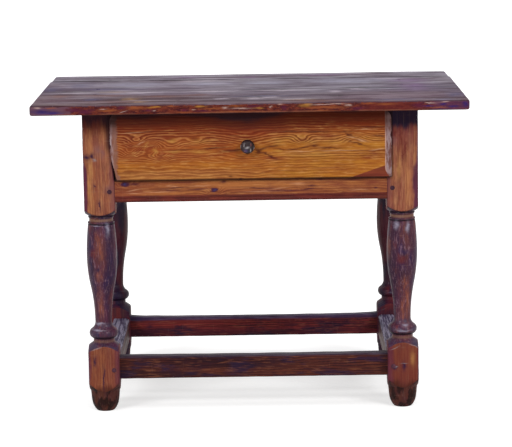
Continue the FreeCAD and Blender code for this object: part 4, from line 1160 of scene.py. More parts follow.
def bevel_colour(tree, place):
    """The rubbed bevels: grey pink at the rim, browner inside, with a painted shadow of the top near their
    upper end.
    """
    x, _, z = tree.parts(place)
    left_half = tree.step(x, 0.1, -0.1)
    pale = tree.step(tree.noise(place, (190.0, 60.0, 40.0), 4.0, 0.66), 0.4, 0.6)
    grey = tree.mix(pale, paint(0.2, 0.085, 0.07), paint(0.42, 0.31, 0.31))
    inside = tree.times(tree.step(x, -0.311, -0.303), left_half)
    grey = tree.mix((inside, 0.85), grey, paint(0.27, 0.112, 0.066))
    tint = tree.mix(left_half, paint(0.8, 0.74, 0.75), paint(0.9, 0.86, 0.86))
    grey = tree.mix(1.0, grey, tint, "MULTIPLY")
    hem = tree.times(near(tree, x, 0.302, 0.0022), tree.scale(pale, 0.4, 0.9))
    grey = tree.mix(hem, grey, paint(0.56, 0.33, 0.26))
    # painted shadow of the top's overhang on the bevels, darkest at the left
    grey = tree.mix((tree.step(z, 0.622, 0.65), 0.6), grey, paint(0.19, 0.08, 0.07))
    left_top = tree.times(tree.step(z, 0.65, 0.668), left_half)
    grey = tree.mix((left_top, 0.85), grey, paint(0.04, 0.014, 0.014))
    return tree.mix((tree.step(z, 0.668, 0.68), 0.7), grey, paint(0.06, 0.024, 0.024))


print("field from", FIELD_LEFT, "to", FIELD_RIGHT, "m")


# %% The drawer front's finish
def make_drawer_face_finish():
    """The field, its dark wedge, the bevels beyond its two ends, a painted shadow along the lower edge and
    painted shade on the board behind the lip.
    """
    material, tree, place = begin("golden_drawer_front")
    x, y, z = tree.parts(place)
    bend = tree.gather("ADD", (one["Bend"] for one in grow_knots(tree, place, FACE_Y, SWIRLS)))
    rings = tree.use(growth, {"Point": place, "Heart": (0, -0.16, 0.42), "Ring width": 0.005,
                              "Wander": 0.02, "Bend": bend, "Shift": (0.2, 0.0, 0.1), "Ruffle": 2.4})
    worn = tree.use(wear, {"Point": place, "Amount": -0.02})
    colour = drawer_field_colour(tree, place, rings, worn)
    wedge = tree.minus(tree.times(tree.minus(x, 0.2274), 0.335),
                      tree.minus(z, 0.5359))
    wedge = tree.times(tree.step(wedge, -0.0012, 0.0012), tree.step(x, 0.215, 0.228))
    reddish = tree.mix(rings["Streak"], paint(0.175, 0.024, 0.02), paint(0.085, 0.01, 0.013))
    colour = tree.mix((wedge, 0.85), colour, reddish)
    turn_in = tree.add("ShaderNodeMapRange", {"Value": z, "From Min": 0.557, "From Max": 0.535})
    turn_in = tree.times(tree.times(turn_in, turn_in), CORNER_IN)
    left, right = tree.plus(turn_in, FIELD_LEFT), tree.plus(turn_in, FIELD_RIGHT)
    uneven = tree.times(tree.minus(tree.noise(place, (60.0, 60.0, 60.0), 4.0, 0.7), 0.5), 0.02)
    ends = tree.larger(tree.step(tree.minus(tree.plus(x, uneven), left), 0.0006, -0.005),
                       tree.step(tree.minus(x, right), 0.0, 0.0016))
    colour = tree.mix(ends, colour, bevel_colour(tree, place))
    # painted shadow along the lip's lower edge
    foot = tree.step(z, 0.537, 0.5352)
    colour = tree.mix((foot, 0.8), colour, paint(0.026, 0.007, 0.004))
    # painted shade: the board's face behind the lip, seen where the lip is worn away, is nearly black
    colour = tree.mix(tree.step(y, -0.2562, -0.2552), colour, paint(0.02, 0.007, 0.006))
    return finish(material, tree, colour, tree.scale(rings["Streak"], 0.44, 0.58),
                  grain_height(tree, rings, 0.6, 0.3), 0.0004, 0.09)


finishes["drawer_face"] = make_drawer_face_finish()

# %% [markdown]
# ## Worn surfaces from numbers
#
# A board is a closed skin over a grid. One direction of the grid runs along the board, and the other
# goes round its section: up the front face, over the rounded arris, across the upper face and down
# the back, then the same underneath. Rows above and below are made in pairs, so the two ends can be
# closed like a ladder, rung by rung. Slow sums of sine waves move the surface a little, always
# inwards, as planing and wear do.

# %% Helpers for grids
def drift(seed, size, *coordinates):
    """Sum of eight sine waves of about that size in random directions: a smooth value near -1 to 1."""
    random = np.random.default_rng(seed)
    total = 0.0
    for _ in range(8):
        direction = random.normal(size=len(coordinates))
        direction /= np.linalg.norm(direction)
        wave = 2 * np.pi / (size * random.uniform(0.6, 1.7))
        phase = random.uniform(0, 2 * np.pi)
        total = total + np.sin(wave * sum(d * c for d, c in zip(direction, coordinates)) + phase)
    return total / 4.5


def rub(depth, seed, size, *coordinates):
    """How much wood is gone at each place: depth on average, in slow waves, and never less than nothing."""
    return depth * np.clip(1 + drift(seed, size, *coordinates), 0, 2)


def hump(values, centre, reach):
    """A smooth bump: cosine shaped, 1 at the centre and 0 from reach outwards."""
    away = np.clip(np.abs(values - centre) / reach, 0, 1)
    return 0.5 + 0.5 * np.cos(np.pi * away)


def grid_faces(rounds, stations):
    """Quads of a grid that closes on itself round the section and stays open at its two ends."""
    row, column = np.meshgrid(np.arange(rounds), np.arange(stations - 1), indexing="ij")
    after = (row + 1) % rounds
    corners = [row * stations + column, row * stations + column + 1,
               after * stations + column + 1, after * stations + column]
    return np.stack(corners, axis=-1).reshape(-1, 4)


def ladder_faces(rounds, stations, column):
    """Quads that close one end: each joins two upper rows to the two lower rows beneath them."""
    upper = np.arange(rounds // 2 - 1)
    lower = rounds - 1 - upper
    corners = np.stack([upper, upper + 1, lower - 1, lower], axis=-1) * stations + column
    return corners if column == 0 else corners[:, ::-1]


def outward(points, faces):
    """Turns all faces round if the enclosed volume comes out negative."""
    first, second, third, fourth = (points[faces[:, index]] for index in range(4))
    volume = np.einsum("ij,ij->", first, np.cross(second, third) + np.cross(third, fourth))
    return faces if volume > 0 else faces[:, ::-1]


def add_piece(name, points, faces, body, slot, material, sharp=38.0, caps=()):
    """A named mesh that rides on a body: smooth shaded, with edges sharper than that angle kept."""
    mesh = bpy.data.meshes.new(name)
    mesh.from_pydata(points.tolist(), [], faces.tolist() + [list(cap) for cap in caps])
    mesh.polygons.foreach_set("use_smooth", np.ones(len(mesh.polygons), bool))
    mesh.materials.append(material)
    mesh.update()
    mesh.set_sharp_from_angle(angle=math.radians(sharp))
    piece = bpy.data.objects.new(name, mesh)
    bpy.context.scene.collection.objects.link(piece)
    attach(piece, body)
    print("%-22s %6d faces" % (name, len(mesh.polygons)))
    return piece


def along(low, high, step, ends=(0.0, 0.0004, 0.001, 0.0018, 0.0028, 0.004, 0.006, 0.009)):
    """Stations from low to high: close together at both ends, then evenly spaced."""
    inner = np.linspace(low + ends[-1] + step / 2, high - ends[-1] - step / 2,
                        max(2, int((high - low) / step)))
    return np.concatenate([low + np.array(ends), inner, (high - np.array(ends))[::-1]])


print("a station every 4 mm along a metre makes", len(along(0.0, 1.0, 0.004)))

# %% [markdown]
# ## The section of a board
#
# A sawn board has four arrises, and use rounds each of them. A bevel modifier could round them all the
# same, but wear is never the same twice, so each arris here has a radius at every station along the
# board. The section is written as rows of points that follow those radii.

# %% A worn board
ARRIS_STEPS = np.radians([0.0, 18.0, 36.0, 54.0, 72.0, 90.0])


def board_grid(x, y_low, y_high, z_low, z_high, across, arris, end_round, corner_round=((0, 0), (0, 0)),
               side_rows=(0.15, 0.48, 0.8)):
    """Points of a board along x, as (rows, stations, 3).

    A row at arris angle a keeps y = face + r (1 - cos a) and z = top - r (1 - sin a). Near the ends
    the thickness shrinks by a quarter circle, and the outline turns each of its four corners by
    another one: corner_round is ((front left, front right), (back left, back right)).
    """
    end = np.minimum(x - x[0], x[-1] - x)

    def quarter(pair):
        """How far a quarter circle turns in: radius - root of (radius squared - inside squared)."""
        radius = np.where(x < (x[0] + x[-1]) / 2, pair[0], pair[1])
        inside = np.clip(radius - end, 0, radius)
        return radius - np.sqrt(radius ** 2 - inside ** 2)

    front = y_low + quarter(corner_round[0])
    back = y_high - quarter(corner_round[1])
    middle = (z_low + z_high) / 2
    half = (z_high - z_low) / 2 - quarter((end_round, end_round))
    rows = []
    for sign, radii in ((1, arris[0]), (-1, arris[1])):
        radius_front, radius_back = radii
        upper = [(front, half * share * (1 - radius_front / half)) for share in side_rows]
        upper += [(front + radius_front * (1 - np.cos(a)), half - radius_front * (1 - np.sin(a)))
                  for a in ARRIS_STEPS]
        upper += [((1 - share) * front + share * back, half) for share in across]
        upper += [(back - radius_back * (1 - np.cos(a)), half - radius_back * (1 - np.sin(a)))
                  for a in ARRIS_STEPS[::-1]]
        upper += [(back, half * share * (1 - radius_back / half)) for share in side_rows[::-1]]
        layer = [np.stack([x, y + 0 * x, middle + sign * (z + 0 * x)], axis=-1) for y, z in upper]
        rows += layer if sign > 0 else layer[::-1]
    return np.array(rows)


def skin_of(points):
    """Flattens a board's rows to one list of points, and joins them by a grid and two ladders."""
    rounds, stations = points.shape[:2]
    flat = points.reshape(-1, 3)
    faces = np.concatenate([grid_faces(rounds, stations), ladder_faces(rounds, stations, 0),
                            ladder_faces(rounds, stations, stations - 1)])
    return flat, outward(flat, faces)


print("an arris turns in", len(ARRIS_STEPS) - 1, "steps")

# %% [markdown]
# ## Three planks with a history
#
# The planks were planed by hand across their width, which leaves shallow scallops, so the upper face
# dips a little every few centimetres. A long shake follows the grain of the front plank a hand's
# breadth from its edge. Its grid rows bend along the shake, so the crack is a real groove and not a
# drawing. The front arris is rounded unevenly, and chips are hollows with a centre, a length, a height
# and a depth. The front plank's ends and the top's outer corners are worn rounder than the rest.

# %% What happened to the planks
SHAKE_Y = -0.218
SHAKE_OFFSETS = np.array([-14.0, -6.0, -2.6, -1.3, -0.55, 0.0, 0.55, 1.3, 2.6, 6.0, 14.0]) * MM
SHAKE_DEPTH = 0.0022
SHAKE_ROOM = 0.0165
SCALLOP_DEPTH, SCALLOP_WIDTH = 0.00007, 0.047
ARRIS_LIMITS = (0.0006, 0.006)
WORN_FACE = 0.0065
# each chip: x, z, half length, half height, depth, in millimetres
CHIPS = [(-33, 700, 26, 5, 3), (180, 707.5, 45, 4, 2.8), (-138, 701, 11, 4, 2),
         (80, 708.5, 16, 3, 2.2), (395, 708, 28, 4, 2.6), (-300, 708.5, 30, 3, 2),
         (12, 704.5, 7, 3, 2.2), (-445, 696, 30, 5, 1.8), (300, 691.5, 40, 3, 2),
         (-220, 691, 50, 3, 1.8)]


def open_shake(points, px, py, top, seed):
    """A groove along y = SHAKE_Y, deepest in the middle of its length, with the rows bent to follow it.

    Depth = SHAKE_DEPTH x a V across x a hump along x; rows move by a slow wave x exp(-(away / 20 mm)^2).
    """
    path = 0.0055 * drift(seed + 6, 0.3, px[:1]) - 0.006 * px[:1]
    open_share = hump(px, 0.1, 0.27) ** 0.4 * (0.75 + 0.35 * drift(seed + 7, 0.03, px))
    groove = np.interp(np.abs(py - SHAKE_Y), [0, 0.00056, 0.0013, 0.0027], [1.0, 0.85, 0.2, 0.0])
    points[..., 2] -= top * SHAKE_DEPTH * groove * np.clip(open_share, 0, 1)
    points[..., 1] += top * path * np.exp(-((py - SHAKE_Y) / 0.02) ** 2)


def chip_front(points, px, py, pz, front, seed):
    """Front face moved in by each chip's depth x two humps, along and up, and by overall rubbing."""
    face = np.clip((front + WORN_FACE - py) / WORN_FACE, 0, 1)
    for chip_x, chip_z, length, height, depth in CHIPS:
        hollow = hump(px, chip_x * MM, length * MM) * hump(pz, chip_z * MM, height * MM)
        points[..., 1] += face * hollow * rub(0.75 * depth * MM, abs(chip_x), 0.012, px, pz)
    points[..., 1] += face * rub(0.0005, seed + 8, 0.028, px, pz * 2)


print(len(CHIPS), "chips, and a shake of", len(SHAKE_OFFSETS), "rows")

# %% Build the planks
TOP_SKIN = 0.006


def dress_front_edge(piece, middle, low, high, seed):
    """Gives the edge's finish to the front faces whose middle lies below a wavering border."""
    piece.data.materials.append(finishes["top_edge"])
    border = high.z - 0.003 - 0.0007 * drift(seed + 9, 0.02, middle[:, 0])
    rubbed = (middle[:, 1] < low.y + 0.009) & (middle[:, 2] < border) & (middle[:, 2] > low.z + 0.001)
    piece.data.polygons.foreach_set("material_index", rubbed.astype(np.int32))
    print("%-22s %6d faces of the front edge" % (piece.name, rubbed.sum()))


def plank(name, seed, arris_front, arris_back, sink, corner_round=((0, 0), (0, 0)), step=0.003,
          end_round=0.0018, front=False):
    """A board whose upper face falls by scallops, slow wear and sink, and whose arrises vary.

    Scallops fall by SCALLOP_DEPTH x (1 + cos(2 pi y / SCALLOP_WIDTH)), with y wandering along the board.
    """
    low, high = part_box(name)
    x = along(low.x, high.x, step)
    width = high.y - low.y
    across = np.linspace(0.02, 0.98, max(12, int(width / 0.0055)))
    if front:
        centre = (SHAKE_Y - low.y) / width
        near_shake = np.abs(across - centre) * width < SHAKE_ROOM
        across = np.sort(np.concatenate([across[~near_shake], centre + SHAKE_OFFSETS / width]))
    radius_front = arris_front * (1.0 + 0.45 * drift(seed, 0.045, x) + 0.35 * drift(seed + 1, 0.19, x))
    radius_front = np.clip(radius_front, *ARRIS_LIMITS)
    radius_back = np.clip(arris_back * (1.0 + 0.5 * drift(seed + 2, 0.06, x)), *ARRIS_LIMITS)
    lower = np.full_like(x, 0.002)
    points = board_grid(x, low.y, high.y, low.z, high.z, across,
                        ((radius_front, radius_back), (lower, lower)), end_round, corner_round)
    px, py, pz = np.moveaxis(points.copy(), -1, 0)
    top = np.clip((pz - high.z + TOP_SKIN) / TOP_SKIN, 0, 1)
    wander = 0.012 * drift(seed + 3, 0.4, px)
    scallop = SCALLOP_DEPTH * (1 + np.cos(2 * np.pi * (py + wander) / SCALLOP_WIDTH))
    points[..., 2] -= top * (scallop + rub(0.00035, seed + 4, 0.16, px * 0.35, py) + sink)
    points[..., 0] -= np.sign(px) * rub(0.0002, seed + 5, 0.09, py, pz * 3) * hump(np.abs(px), high.x, 0.2)
    if front:
        open_shake(points, px, py, top, seed)
        chip_front(points, px, py, pz, low.y, seed)
    flat, faces = skin_of(points)
    piece = add_piece(name.replace("top_board", "plank"), flat, faces, "frame", "top_planks", finishes["top"])
    if front:
        dress_front_edge(piece, flat[faces].mean(axis=1), low, high, seed)
    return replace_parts(piece, name)


plank("top_board_front", 11, 0.0036, 0.0011, 0.0, ((0.011, 0.013), (0, 0)), 0.0026, 0.0045, front=True)
plank("top_board_middle", 31, 0.0011, 0.0011, 0.00035)
plank("top_board_back", 51, 0.0011, 0.0032, 0.0001, ((0, 0), (0.018, 0.009)))

# %% [markdown]
# ## Four turned legs
#
# A turner starts with a square post and cuts round shapes between the places that stay square. So the
# surface is the smaller of two distances from the axis at every angle and height: how far the square
# reaches in that direction, and how far the turned outline reaches at that height. Where the two
# meet, the typical curved shoulders appear by themselves. Heights are close together where the
# outline is busy.

# %% The outline and the square
def arc(start, end, bulge, steps=9):
    """Points on a circular arc between two (radius, height) points, bulging outwards by bulge."""
    (r0, z0), (r1, z1) = start, end
    length = math.hypot(r1 - r0, z1 - z0)
    if abs(bulge) < 1e-6:
        return [start, end]
    radius = (length ** 2 / 4 + bulge ** 2) / (2 * abs(bulge))
    half = math.asin(min(1.0, length / 2 / radius))
    if abs(bulge) > length / 2:
        half = math.pi - half
    share = np.linspace(-half, half, steps)
    forward = radius * np.sin(share) / length
    side = math.copysign(1.0, bulge) * (radius * np.cos(share) - radius * math.cos(half)) / length
    middle_r, middle_z = (r0 + r1) / 2, (z0 + z1) / 2
    return list(zip(middle_r + forward * (r1 - r0) + side * (z1 - z0),
                    middle_z + forward * (z1 - z0) - side * (r1 - r0)))


def upright_arc(upright, other, steps=14):
    """Points on an arc that starts parallel to the axis at the first point and ends at the other."""
    run, rise = other[0] - upright[0], other[1] - upright[1]
    radius = (run ** 2 + rise ** 2) / (2 * abs(run))
    sweep = np.linspace(0, math.atan2(abs(rise), radius - abs(run)), steps)
    return list(zip(upright[0] + math.copysign(1, run) * radius * (1 - np.cos(sweep)),
                    upright[1] + math.copysign(1, rise) * radius * np.sin(sweep)))


# radius and height in millimetres, from the floor up
STOCK = 51.0
TURN = (27.62, 289.27)
FOOT = [(0.0, 0.0), (20.0, 0.0), (20.9, 0.7), (24.2, 4.5), (26.6, 8.8), (28.8, 13.4), (30.0, 18.0),
        (30.9, 22.0), (32.1, 31.0), (32.7, 40.0), (33.6, 47.0)]
outline = (FOOT + [(STOCK, 71.0), (STOCK, 137.0)]
           + arc((STOCK, 137.0), (24.0, 159.8), 1.2) + [(24.0, 160.2), (24.0, 168.0)]
           + arc((24.0, 168.0), (26.0, 191.0), 8.0, 15)
           + [(26.0, 191.1), (24.0, 193.0)] + arc((24.0, 193.0), (19.3, 208.0), -1.6)
           + upright_arc((19.3, 208.0), TURN) + upright_arc((34.7, 358.5), TURN)[::-1]
           + upright_arc((34.7, 358.5), (30.2, 430.5)) + [(27.4, 431.9)]
           + arc((27.4, 431.9), (26.0, 437.0), 3.9) + [(26.0, 437.2), (26.0, 445.5)]
           + arc((26.0, 445.5), (27.4, 450.0), 2.6) + arc((27.4, 450.0), (STOCK, 469.0), 1.2)
           + [(STOCK, 470.0), (STOCK, 689.0)])
outline = np.array(sorted(set(outline), key=lambda pair: pair[1])) * MM
# stations: close together at the foot, the shoulders, the ring and the collar
LEG_HEIGHTS = np.unique(np.round(np.concatenate([
    [0.0, 0.7, 1.6, 3.0, 4.5, 6.5], np.arange(8.8, 47, 2.4), np.arange(47, 72, 0.9), np.arange(72, 128, 4.0),
    np.arange(128, 162, 0.9), np.arange(162, 212, 1.1), np.arange(212, 428, 4.0), np.arange(428, 474, 0.8),
    np.arange(474, 486, 2.0), np.arange(486, 689, 5.0), [687.5, 688.6, 689.0]]), 2)) * MM


def square_reach(angle, half, corner):
    """How far a square with rounded corners reaches from its centre in each direction."""
    folded = np.abs((angle + math.pi / 4) % (math.pi / 2) - math.pi / 4)
    flat = half / np.cos(folded)
    centre = half - corner
    along_corner = centre * (np.cos(folded) + np.sin(folded))
    rounded = along_corner + np.sqrt(np.maximum(along_corner ** 2 - 2 * centre ** 2 + corner ** 2, 0))
    return np.where(folded > math.atan2(centre, half), rounded, flat)


OCTANT = np.arctan(np.array([0, 0.16, 0.32, 0.48, 0.62, 0.74, 0.84, 0.9, 0.94, 0.97]))
quarter_turn = np.concatenate([OCTANT, [math.pi / 4], (math.pi / 2 - OCTANT[1:])[::-1]])
LEG_ANGLES = np.concatenate([quarter_turn + turn * math.pi / 2 for turn in range(4)])
print(len(LEG_ANGLES), "directions x", len(LEG_HEIGHTS), "heights for each leg")


# %% [markdown]
# ## Corners, dents and the grain of the post
#
# The square's corners are rubbed to a radius of two to four millimetres, which wanders up the post.
# The whole surface also sinks in slow waves of two tenths of a millimetre, and small pieces are broken
# out of the corners. At the two ends all of this fades out, so that the legs keep their full height.

# %% Turn the legs
def leg(name, seed):
    """Reach = the smaller of square and outline, less slow wear, and less chips near the corners."""
    low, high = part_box(name)
    centre_x, centre_y = math.copysign(LEG_X, low.x), math.copysign(LEG_Y, low.y)
    angle, height = np.meshgrid(LEG_ANGLES, LEG_HEIGHTS, indexing="ij")
    turned_reach = np.interp(height, outline[:, 1], outline[:, 0])
    worn_corner = 0.0028 + 0.0012 * drift(seed, 0.08, LEG_HEIGHTS)
    square = np.array([square_reach(LEG_ANGLES, LEG_HALF, corner) for corner in
                       np.clip(worn_corner, 0.0015, 0.005)]).T
    reach = np.minimum(turned_reach, square)
    x, y = reach * np.cos(angle), reach * np.sin(angle)
    busy = np.clip(np.minimum(height, high.z - height) / 0.004, 0, 1)
    reach = reach - busy * rub(0.00022, seed + 1, 0.05, x, y, height * 0.6)
    corner_share = np.clip((np.minimum(np.abs(x), np.abs(y)) - 0.024) / 0.011, 0, 1)
    chips = np.clip(drift(seed + 2, 0.016, x, y, height) - 0.55, 0, 1)
    reach = reach - corner_share * busy * 0.003 * chips
    points = np.stack([centre_x + reach * np.cos(angle), centre_y + reach * np.sin(angle), height], axis=-1)
    rounds, stations = points.shape[:2]
    flat = points.reshape(-1, 3)
    faces = outward(flat, grid_faces(rounds, stations))
    ring = np.arange(rounds) * stations
    caps = [ring[::-1], ring + stations - 1]
    piece = add_piece(name.replace("leg", "turned_leg"), flat, faces, "frame", "turned_legs",
                      finishes["leg"], 30.0, caps)
    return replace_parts(piece, name)


for index, leg_name in enumerate(("leg_front_left", "leg_front_right", "leg_back_left", "leg_back_right")):
    leg(leg_name, 100 + 10 * index)

# %% [markdown]
# ## The stretchers
#
# Feet have rested on these for centuries. Their upper arrises are rubbed round and the middle is a
# little lower than the ends. A side stretcher is made along x like the others and then turned a
# quarter, which for a grid of points means swapping two columns. Each end goes a little way into its
# block, so no gap shows.

# %% Build the stretchers
BITE = 0.0015


def stretcher(name, seed, lengthwise, wear_front, wear_back, lowered, sag):
    """A board that falls by lowered x (1 - s^12) + sag x (1 - s^2): s is 0 in the middle, 1 at a block."""
    low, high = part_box(name)
    shoulder = (LEG_X - LEG_HALF) if lengthwise else (LEG_Y - LEG_HALF)
    side_low, side_high = (low.y, high.y) if lengthwise else (low.x, high.x)
    x = along(-shoulder - BITE, shoulder + BITE, 0.004)
    across = np.linspace(0.12, 0.88, 7)
    radius_front = np.clip(wear_front * (1 + 0.5 * drift(seed, 0.09, x)), 0.001, 0.008)
    radius_back = np.clip(wear_back * (1 + 0.5 * drift(seed + 1, 0.09, x)), 0.001, 0.008)
    under = np.clip(0.0016 * (1 + 0.6 * drift(seed + 2, 0.05, x)), 0.0006, 0.004)
    points = board_grid(x, side_low, side_high, low.z, high.z, across,
                        ((radius_front, radius_back), (under, under)), 0.0)
    upper = np.clip((points[..., 2] - low.z) / (high.z - low.z), 0, 1)
    span = np.clip(np.abs(points[..., 0] / shoulder), 0, 1)
    fallen = lowered * (1 - span ** 12) + sag * (1 - span ** 2) + rub(0.0002, seed + 3, 0.07, points[..., 0])
    points[..., 2] -= upper ** 4 * fallen
    flat, faces = skin_of(points)
    if not lengthwise:
        flat = flat[:, [1, 0, 2]]
        faces = outward(flat, faces)
    key = {"stretcher_front": "stretcher_x", "stretcher_back": "stretcher_back"}.get(name, "stretcher_y")
    piece = add_piece("worn_" + name, flat, faces, "frame", "stretchers", finishes[key])
    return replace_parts(piece, name)


stretcher("stretcher_front", 210, True, 0.0036, 0.003, 0.0, 0.0012)
stretcher("stretcher_back", 220, True, 0.004, 0.0034, 0.0027, 0.0015)
stretcher("stretcher_left", 230, False, 0.0036, 0.0056, 0.0004, 0.002)
stretcher("stretcher_right", 240, False, 0.0056, 0.0036, 0.0004, 0.002)

# %% [markdown]
# ## The drawer front
#
# The board behind the lip keeps its true joinery: the sockets of the dovetails and the groove for the
# bottom. Only the lip, the part that everybody touches, is made anew. Its face is a grid stretched
# between four worn outlines. The distance to the nearest outline decides how far the bevel falls
# away, and notches and a long worn taper move the two end outlines inwards.

# %% Build the lip and keep the board behind it
LIP_BACK = -0.2553
LIP_FACE = FACE_Y
BEVEL_DEPTH = 0.0045
TOP_BEVEL = 0.016
LOWER_BEVEL = 0.003
LIP_EDGE = 0.316
LIP_CORNER = 0.02
LEFT_WEAR_Z = np.array([0.533, 0.548, 0.559, 0.57, 0.582, 0.6035, 0.61, 0.6165, 0.64, 0.69])
LEFT_WEAR = np.array([16.5, 13.4, 11.0, 8.0, 5.8, 2.2, 5.4, 3.0, 3.2, 2.6]) * MM
RIGHT_WEAR_Z = np.array([0.533, 0.545, 0.57, 0.6, 0.62, 0.6285, 0.637, 0.66, 0.69])
RIGHT_WEAR = np.array([1.6, 0.8, 0.6, 0.8, 0.6, 3.6, 0.8, 1.0, 1.4]) * MM


def lip_grid():
    """Two sheets over the same (s, t) grid: the bevelled face and the flat back."""
    low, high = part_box("drawer_front")
    ends = np.array([0.0, 0.001, 0.003, 0.006, 0.009, 0.012, 0.015, 0.017, 0.02, 0.026])
    s = np.concatenate([ends, np.linspace(0.032, 0.968, 110), 1 - ends[::-1]])
    rims = np.array([0.0, 0.006, 0.014, 0.026, 0.042, 0.06, 0.08, 0.1, 0.112, 0.125])
    t = np.concatenate([rims, np.linspace(0.15, 0.85, 26), 1 - rims[::-1]])
    s, t = np.meshgrid(s, t, indexing="ij")
    z = low.z + t * (high.z - low.z)
    above = np.clip(z - (high.z - LIP_CORNER), 0, LIP_CORNER)
    turn_in = LIP_CORNER - np.sqrt(LIP_CORNER ** 2 - above ** 2)
    left_in = turn_in + np.interp(z, LEFT_WEAR_Z, LEFT_WEAR) + rub(0.0004, 301, 0.012, z)
    right_in = turn_in + np.interp(z, RIGHT_WEAR_Z, RIGHT_WEAR) + rub(0.0003, 302, 0.012, z)
    left, right = -LIP_EDGE + left_in, LIP_EDGE - right_in
    x = left + s * (right - left)
    turn_in = CORNER_IN * np.clip((0.557 - z) / 0.022, 0, 1) ** 2
    field_left, field_right = FIELD_LEFT + turn_in, FIELD_RIGHT + turn_in
    fall = np.maximum(np.clip((field_left - x) / (field_left + LIP_EDGE), 0, 1),
                      np.clip((x - field_right) / (LIP_EDGE - field_right), 0, 1))
    fall = np.maximum(fall, np.clip(1 - (z - low.z) / LOWER_BEVEL, 0, 1) * 0.5)
    fall = np.maximum(fall, np.clip(1 - (high.z - z) / TOP_BEVEL, 0, 1))
    y = LIP_FACE + BEVEL_DEPTH * fall + rub(0.00018, 303, 0.06, x * 0.3, z)
    return np.stack([x, y, z], axis=-1), np.stack([x, 0 * y + LIP_BACK, z], axis=-1)


def add_drawer_front():
    """The two sheets, joined round their borders to one closed lip."""
    face, back = lip_grid()
    columns, rows = face.shape[:2]
    count = columns * rows
    points = np.concatenate([face.reshape(-1, 3), back.reshape(-1, 3)])
    i, j = np.meshgrid(np.arange(columns - 1), np.arange(rows - 1), indexing="ij")
    quads = np.stack([i * rows + j, (i + 1) * rows + j, (i + 1) * rows + j + 1, i * rows + j + 1],
                     axis=-1).reshape(-1, 4)
    border = np.concatenate([np.arange(columns) * rows, (columns - 1) * rows + np.arange(1, rows),
                             np.arange(columns - 2, -1, -1) * rows + rows - 1, np.arange(rows - 2, 0, -1)])
    following = np.roll(border, -1)
    rim = np.stack([following, border, border + count, following + count], axis=-1)
    faces = outward(points, np.concatenate([quads, quads[:, ::-1] + count, rim]))
    lip = add_piece("drawer_lip", points, faces, "drawer", "drawer_face", finishes["drawer_face"])
    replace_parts(lip, "drawer_front")


def keep_board_behind_lip():
    """A copy of the construction's drawer front, cut off where the lip begins and closed again."""
    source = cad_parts["drawer_front"].data
    board = bmesh.new()
    board.from_mesh(source)
    bmesh.ops.remove_doubles(board, verts=board.verts, dist=1e-6)
    everything = list(board.verts) + list(board.edges) + list(board.faces)
    cut = bmesh.ops.bisect_plane(board, geom=everything, plane_co=(0, LIP_BACK + 0.0001, 0),
                                 plane_no=(0, -1, 0), clear_outer=True, dist=1e-6)
    rim_edges = [item for item in cut["geom_cut"] if isinstance(item, bmesh.types.BMEdge)]
    bmesh.ops.triangle_fill(board, use_beauty=True, use_dissolve=False, edges=rim_edges)
    bmesh.ops.recalc_face_normals(board, faces=board.faces)
    mesh = bpy.data.meshes.new("drawer_front_board")
    board.to_mesh(mesh)
    board.free()
    mesh.materials.append(finishes["drawer_face"])
    behind = bpy.data.objects.new("drawer_front_board", mesh)
    bpy.context.scene.collection.objects.link(behind)
    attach(behind, "drawer")
    print("%-22s %6d faces" % (behind.name, len(mesh.polygons)))


add_drawer_front()
keep_board_behind_lip()

# %% [markdown]
# ## The knob
#
# A small mushroom knob, turned on a lathe: an outline carried round an axis. Here the axis points to
# the front, so the outline's height becomes minus y. Handling has worn its rim a little out of round.
# An outline that starts and ends on its axis makes poles of many points in one place, which are merged.

# %% Turn the knob
KNOB_X, KNOB_Z = -0.006, 0.6089
knob_outline = np.array([(0.0, 0.0), (11.0, 0.0)] + arc((11.0, 0.0), (8.0, 6.0), -1.0, 7)
                        + arc((8.0, 6.0), (14.6, 10.0), -0.6, 6) + arc((14.6, 10.0), (14.0, 19.2), 1.7, 9)
                        + arc((14.0, 19.2), (7.0, 22.9), 0.7, 6) + arc((7.0, 22.9), (0.0, 23.7), 0.1, 4)) * MM
turn_steps = np.linspace(0, 2 * math.pi, 64, endpoint=False)
angle, station = np.meshgrid(turn_steps, np.arange(len(knob_outline)), indexing="ij")
radius = knob_outline[station, 0] * (1 - rub(0.012, 401, 1.4, np.cos(angle), np.sin(angle)))
knob_points = np.stack([KNOB_X + radius * np.cos(angle), LIP_FACE + 0.0002 - knob_outline[station, 1],
                        KNOB_Z + radius * np.sin(angle)], axis=-1)
knob_flat = knob_points.reshape(-1, 3)
knob_faces = outward(knob_flat, grid_faces(*knob_points.shape[:2]))
turned_knob = add_piece("turned_knob", knob_flat, knob_faces, "drawer", "knob", finishes["knob"])
closing = bmesh.new()
closing.from_mesh(turned_knob.data)
bmesh.ops.remove_doubles(closing, verts=closing.verts, dist=1e-6)
closing.to_mesh(turned_knob.data)
closing.free()
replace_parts(turned_knob, "drawer_knob")

# %% [markdown]
# ## Finishes for the members that stay as they are
#
# Rails, aprons, runners, pegs and the drawer's own boards already have their true shape. Each gets the
# finish whose grain runs the way that member was sawn.

# %% Assign finishes
NODE_FINISHES = {
    "front_rail": "rail", "upper_rail": "support_x", "apron_back": "apron_x", "apron_left": "apron_y",
    "apron_right": "apron_y", "runner_left": "support_y", "runner_right": "support_y",
    "guide_left": "support_y", "guide_right": "support_y", "kicker_left": "support_y",
    "kicker_right": "support_y", "drawer_side_left": "support_y", "drawer_side_right": "support_y",
    "drawer_back": "support_x", "drawer_bottom": "support_x", "pegs_front": "peg", "pegs_back": "peg",
    "pegs_left": "peg", "pegs_right": "peg", "pegs_top": "top",
}
for node_name, finish_key in NODE_FINISHES.items():
    node_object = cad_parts[node_name]
    for slot_index in range(len(node_object.material_slots)):
        node_object.material_slots[slot_index].material = finishes[finish_key]
    if not node_object.material_slots:
        node_object.data.materials.append(finishes[finish_key])
print(len(NODE_FINISHES), "construction nodes dressed")

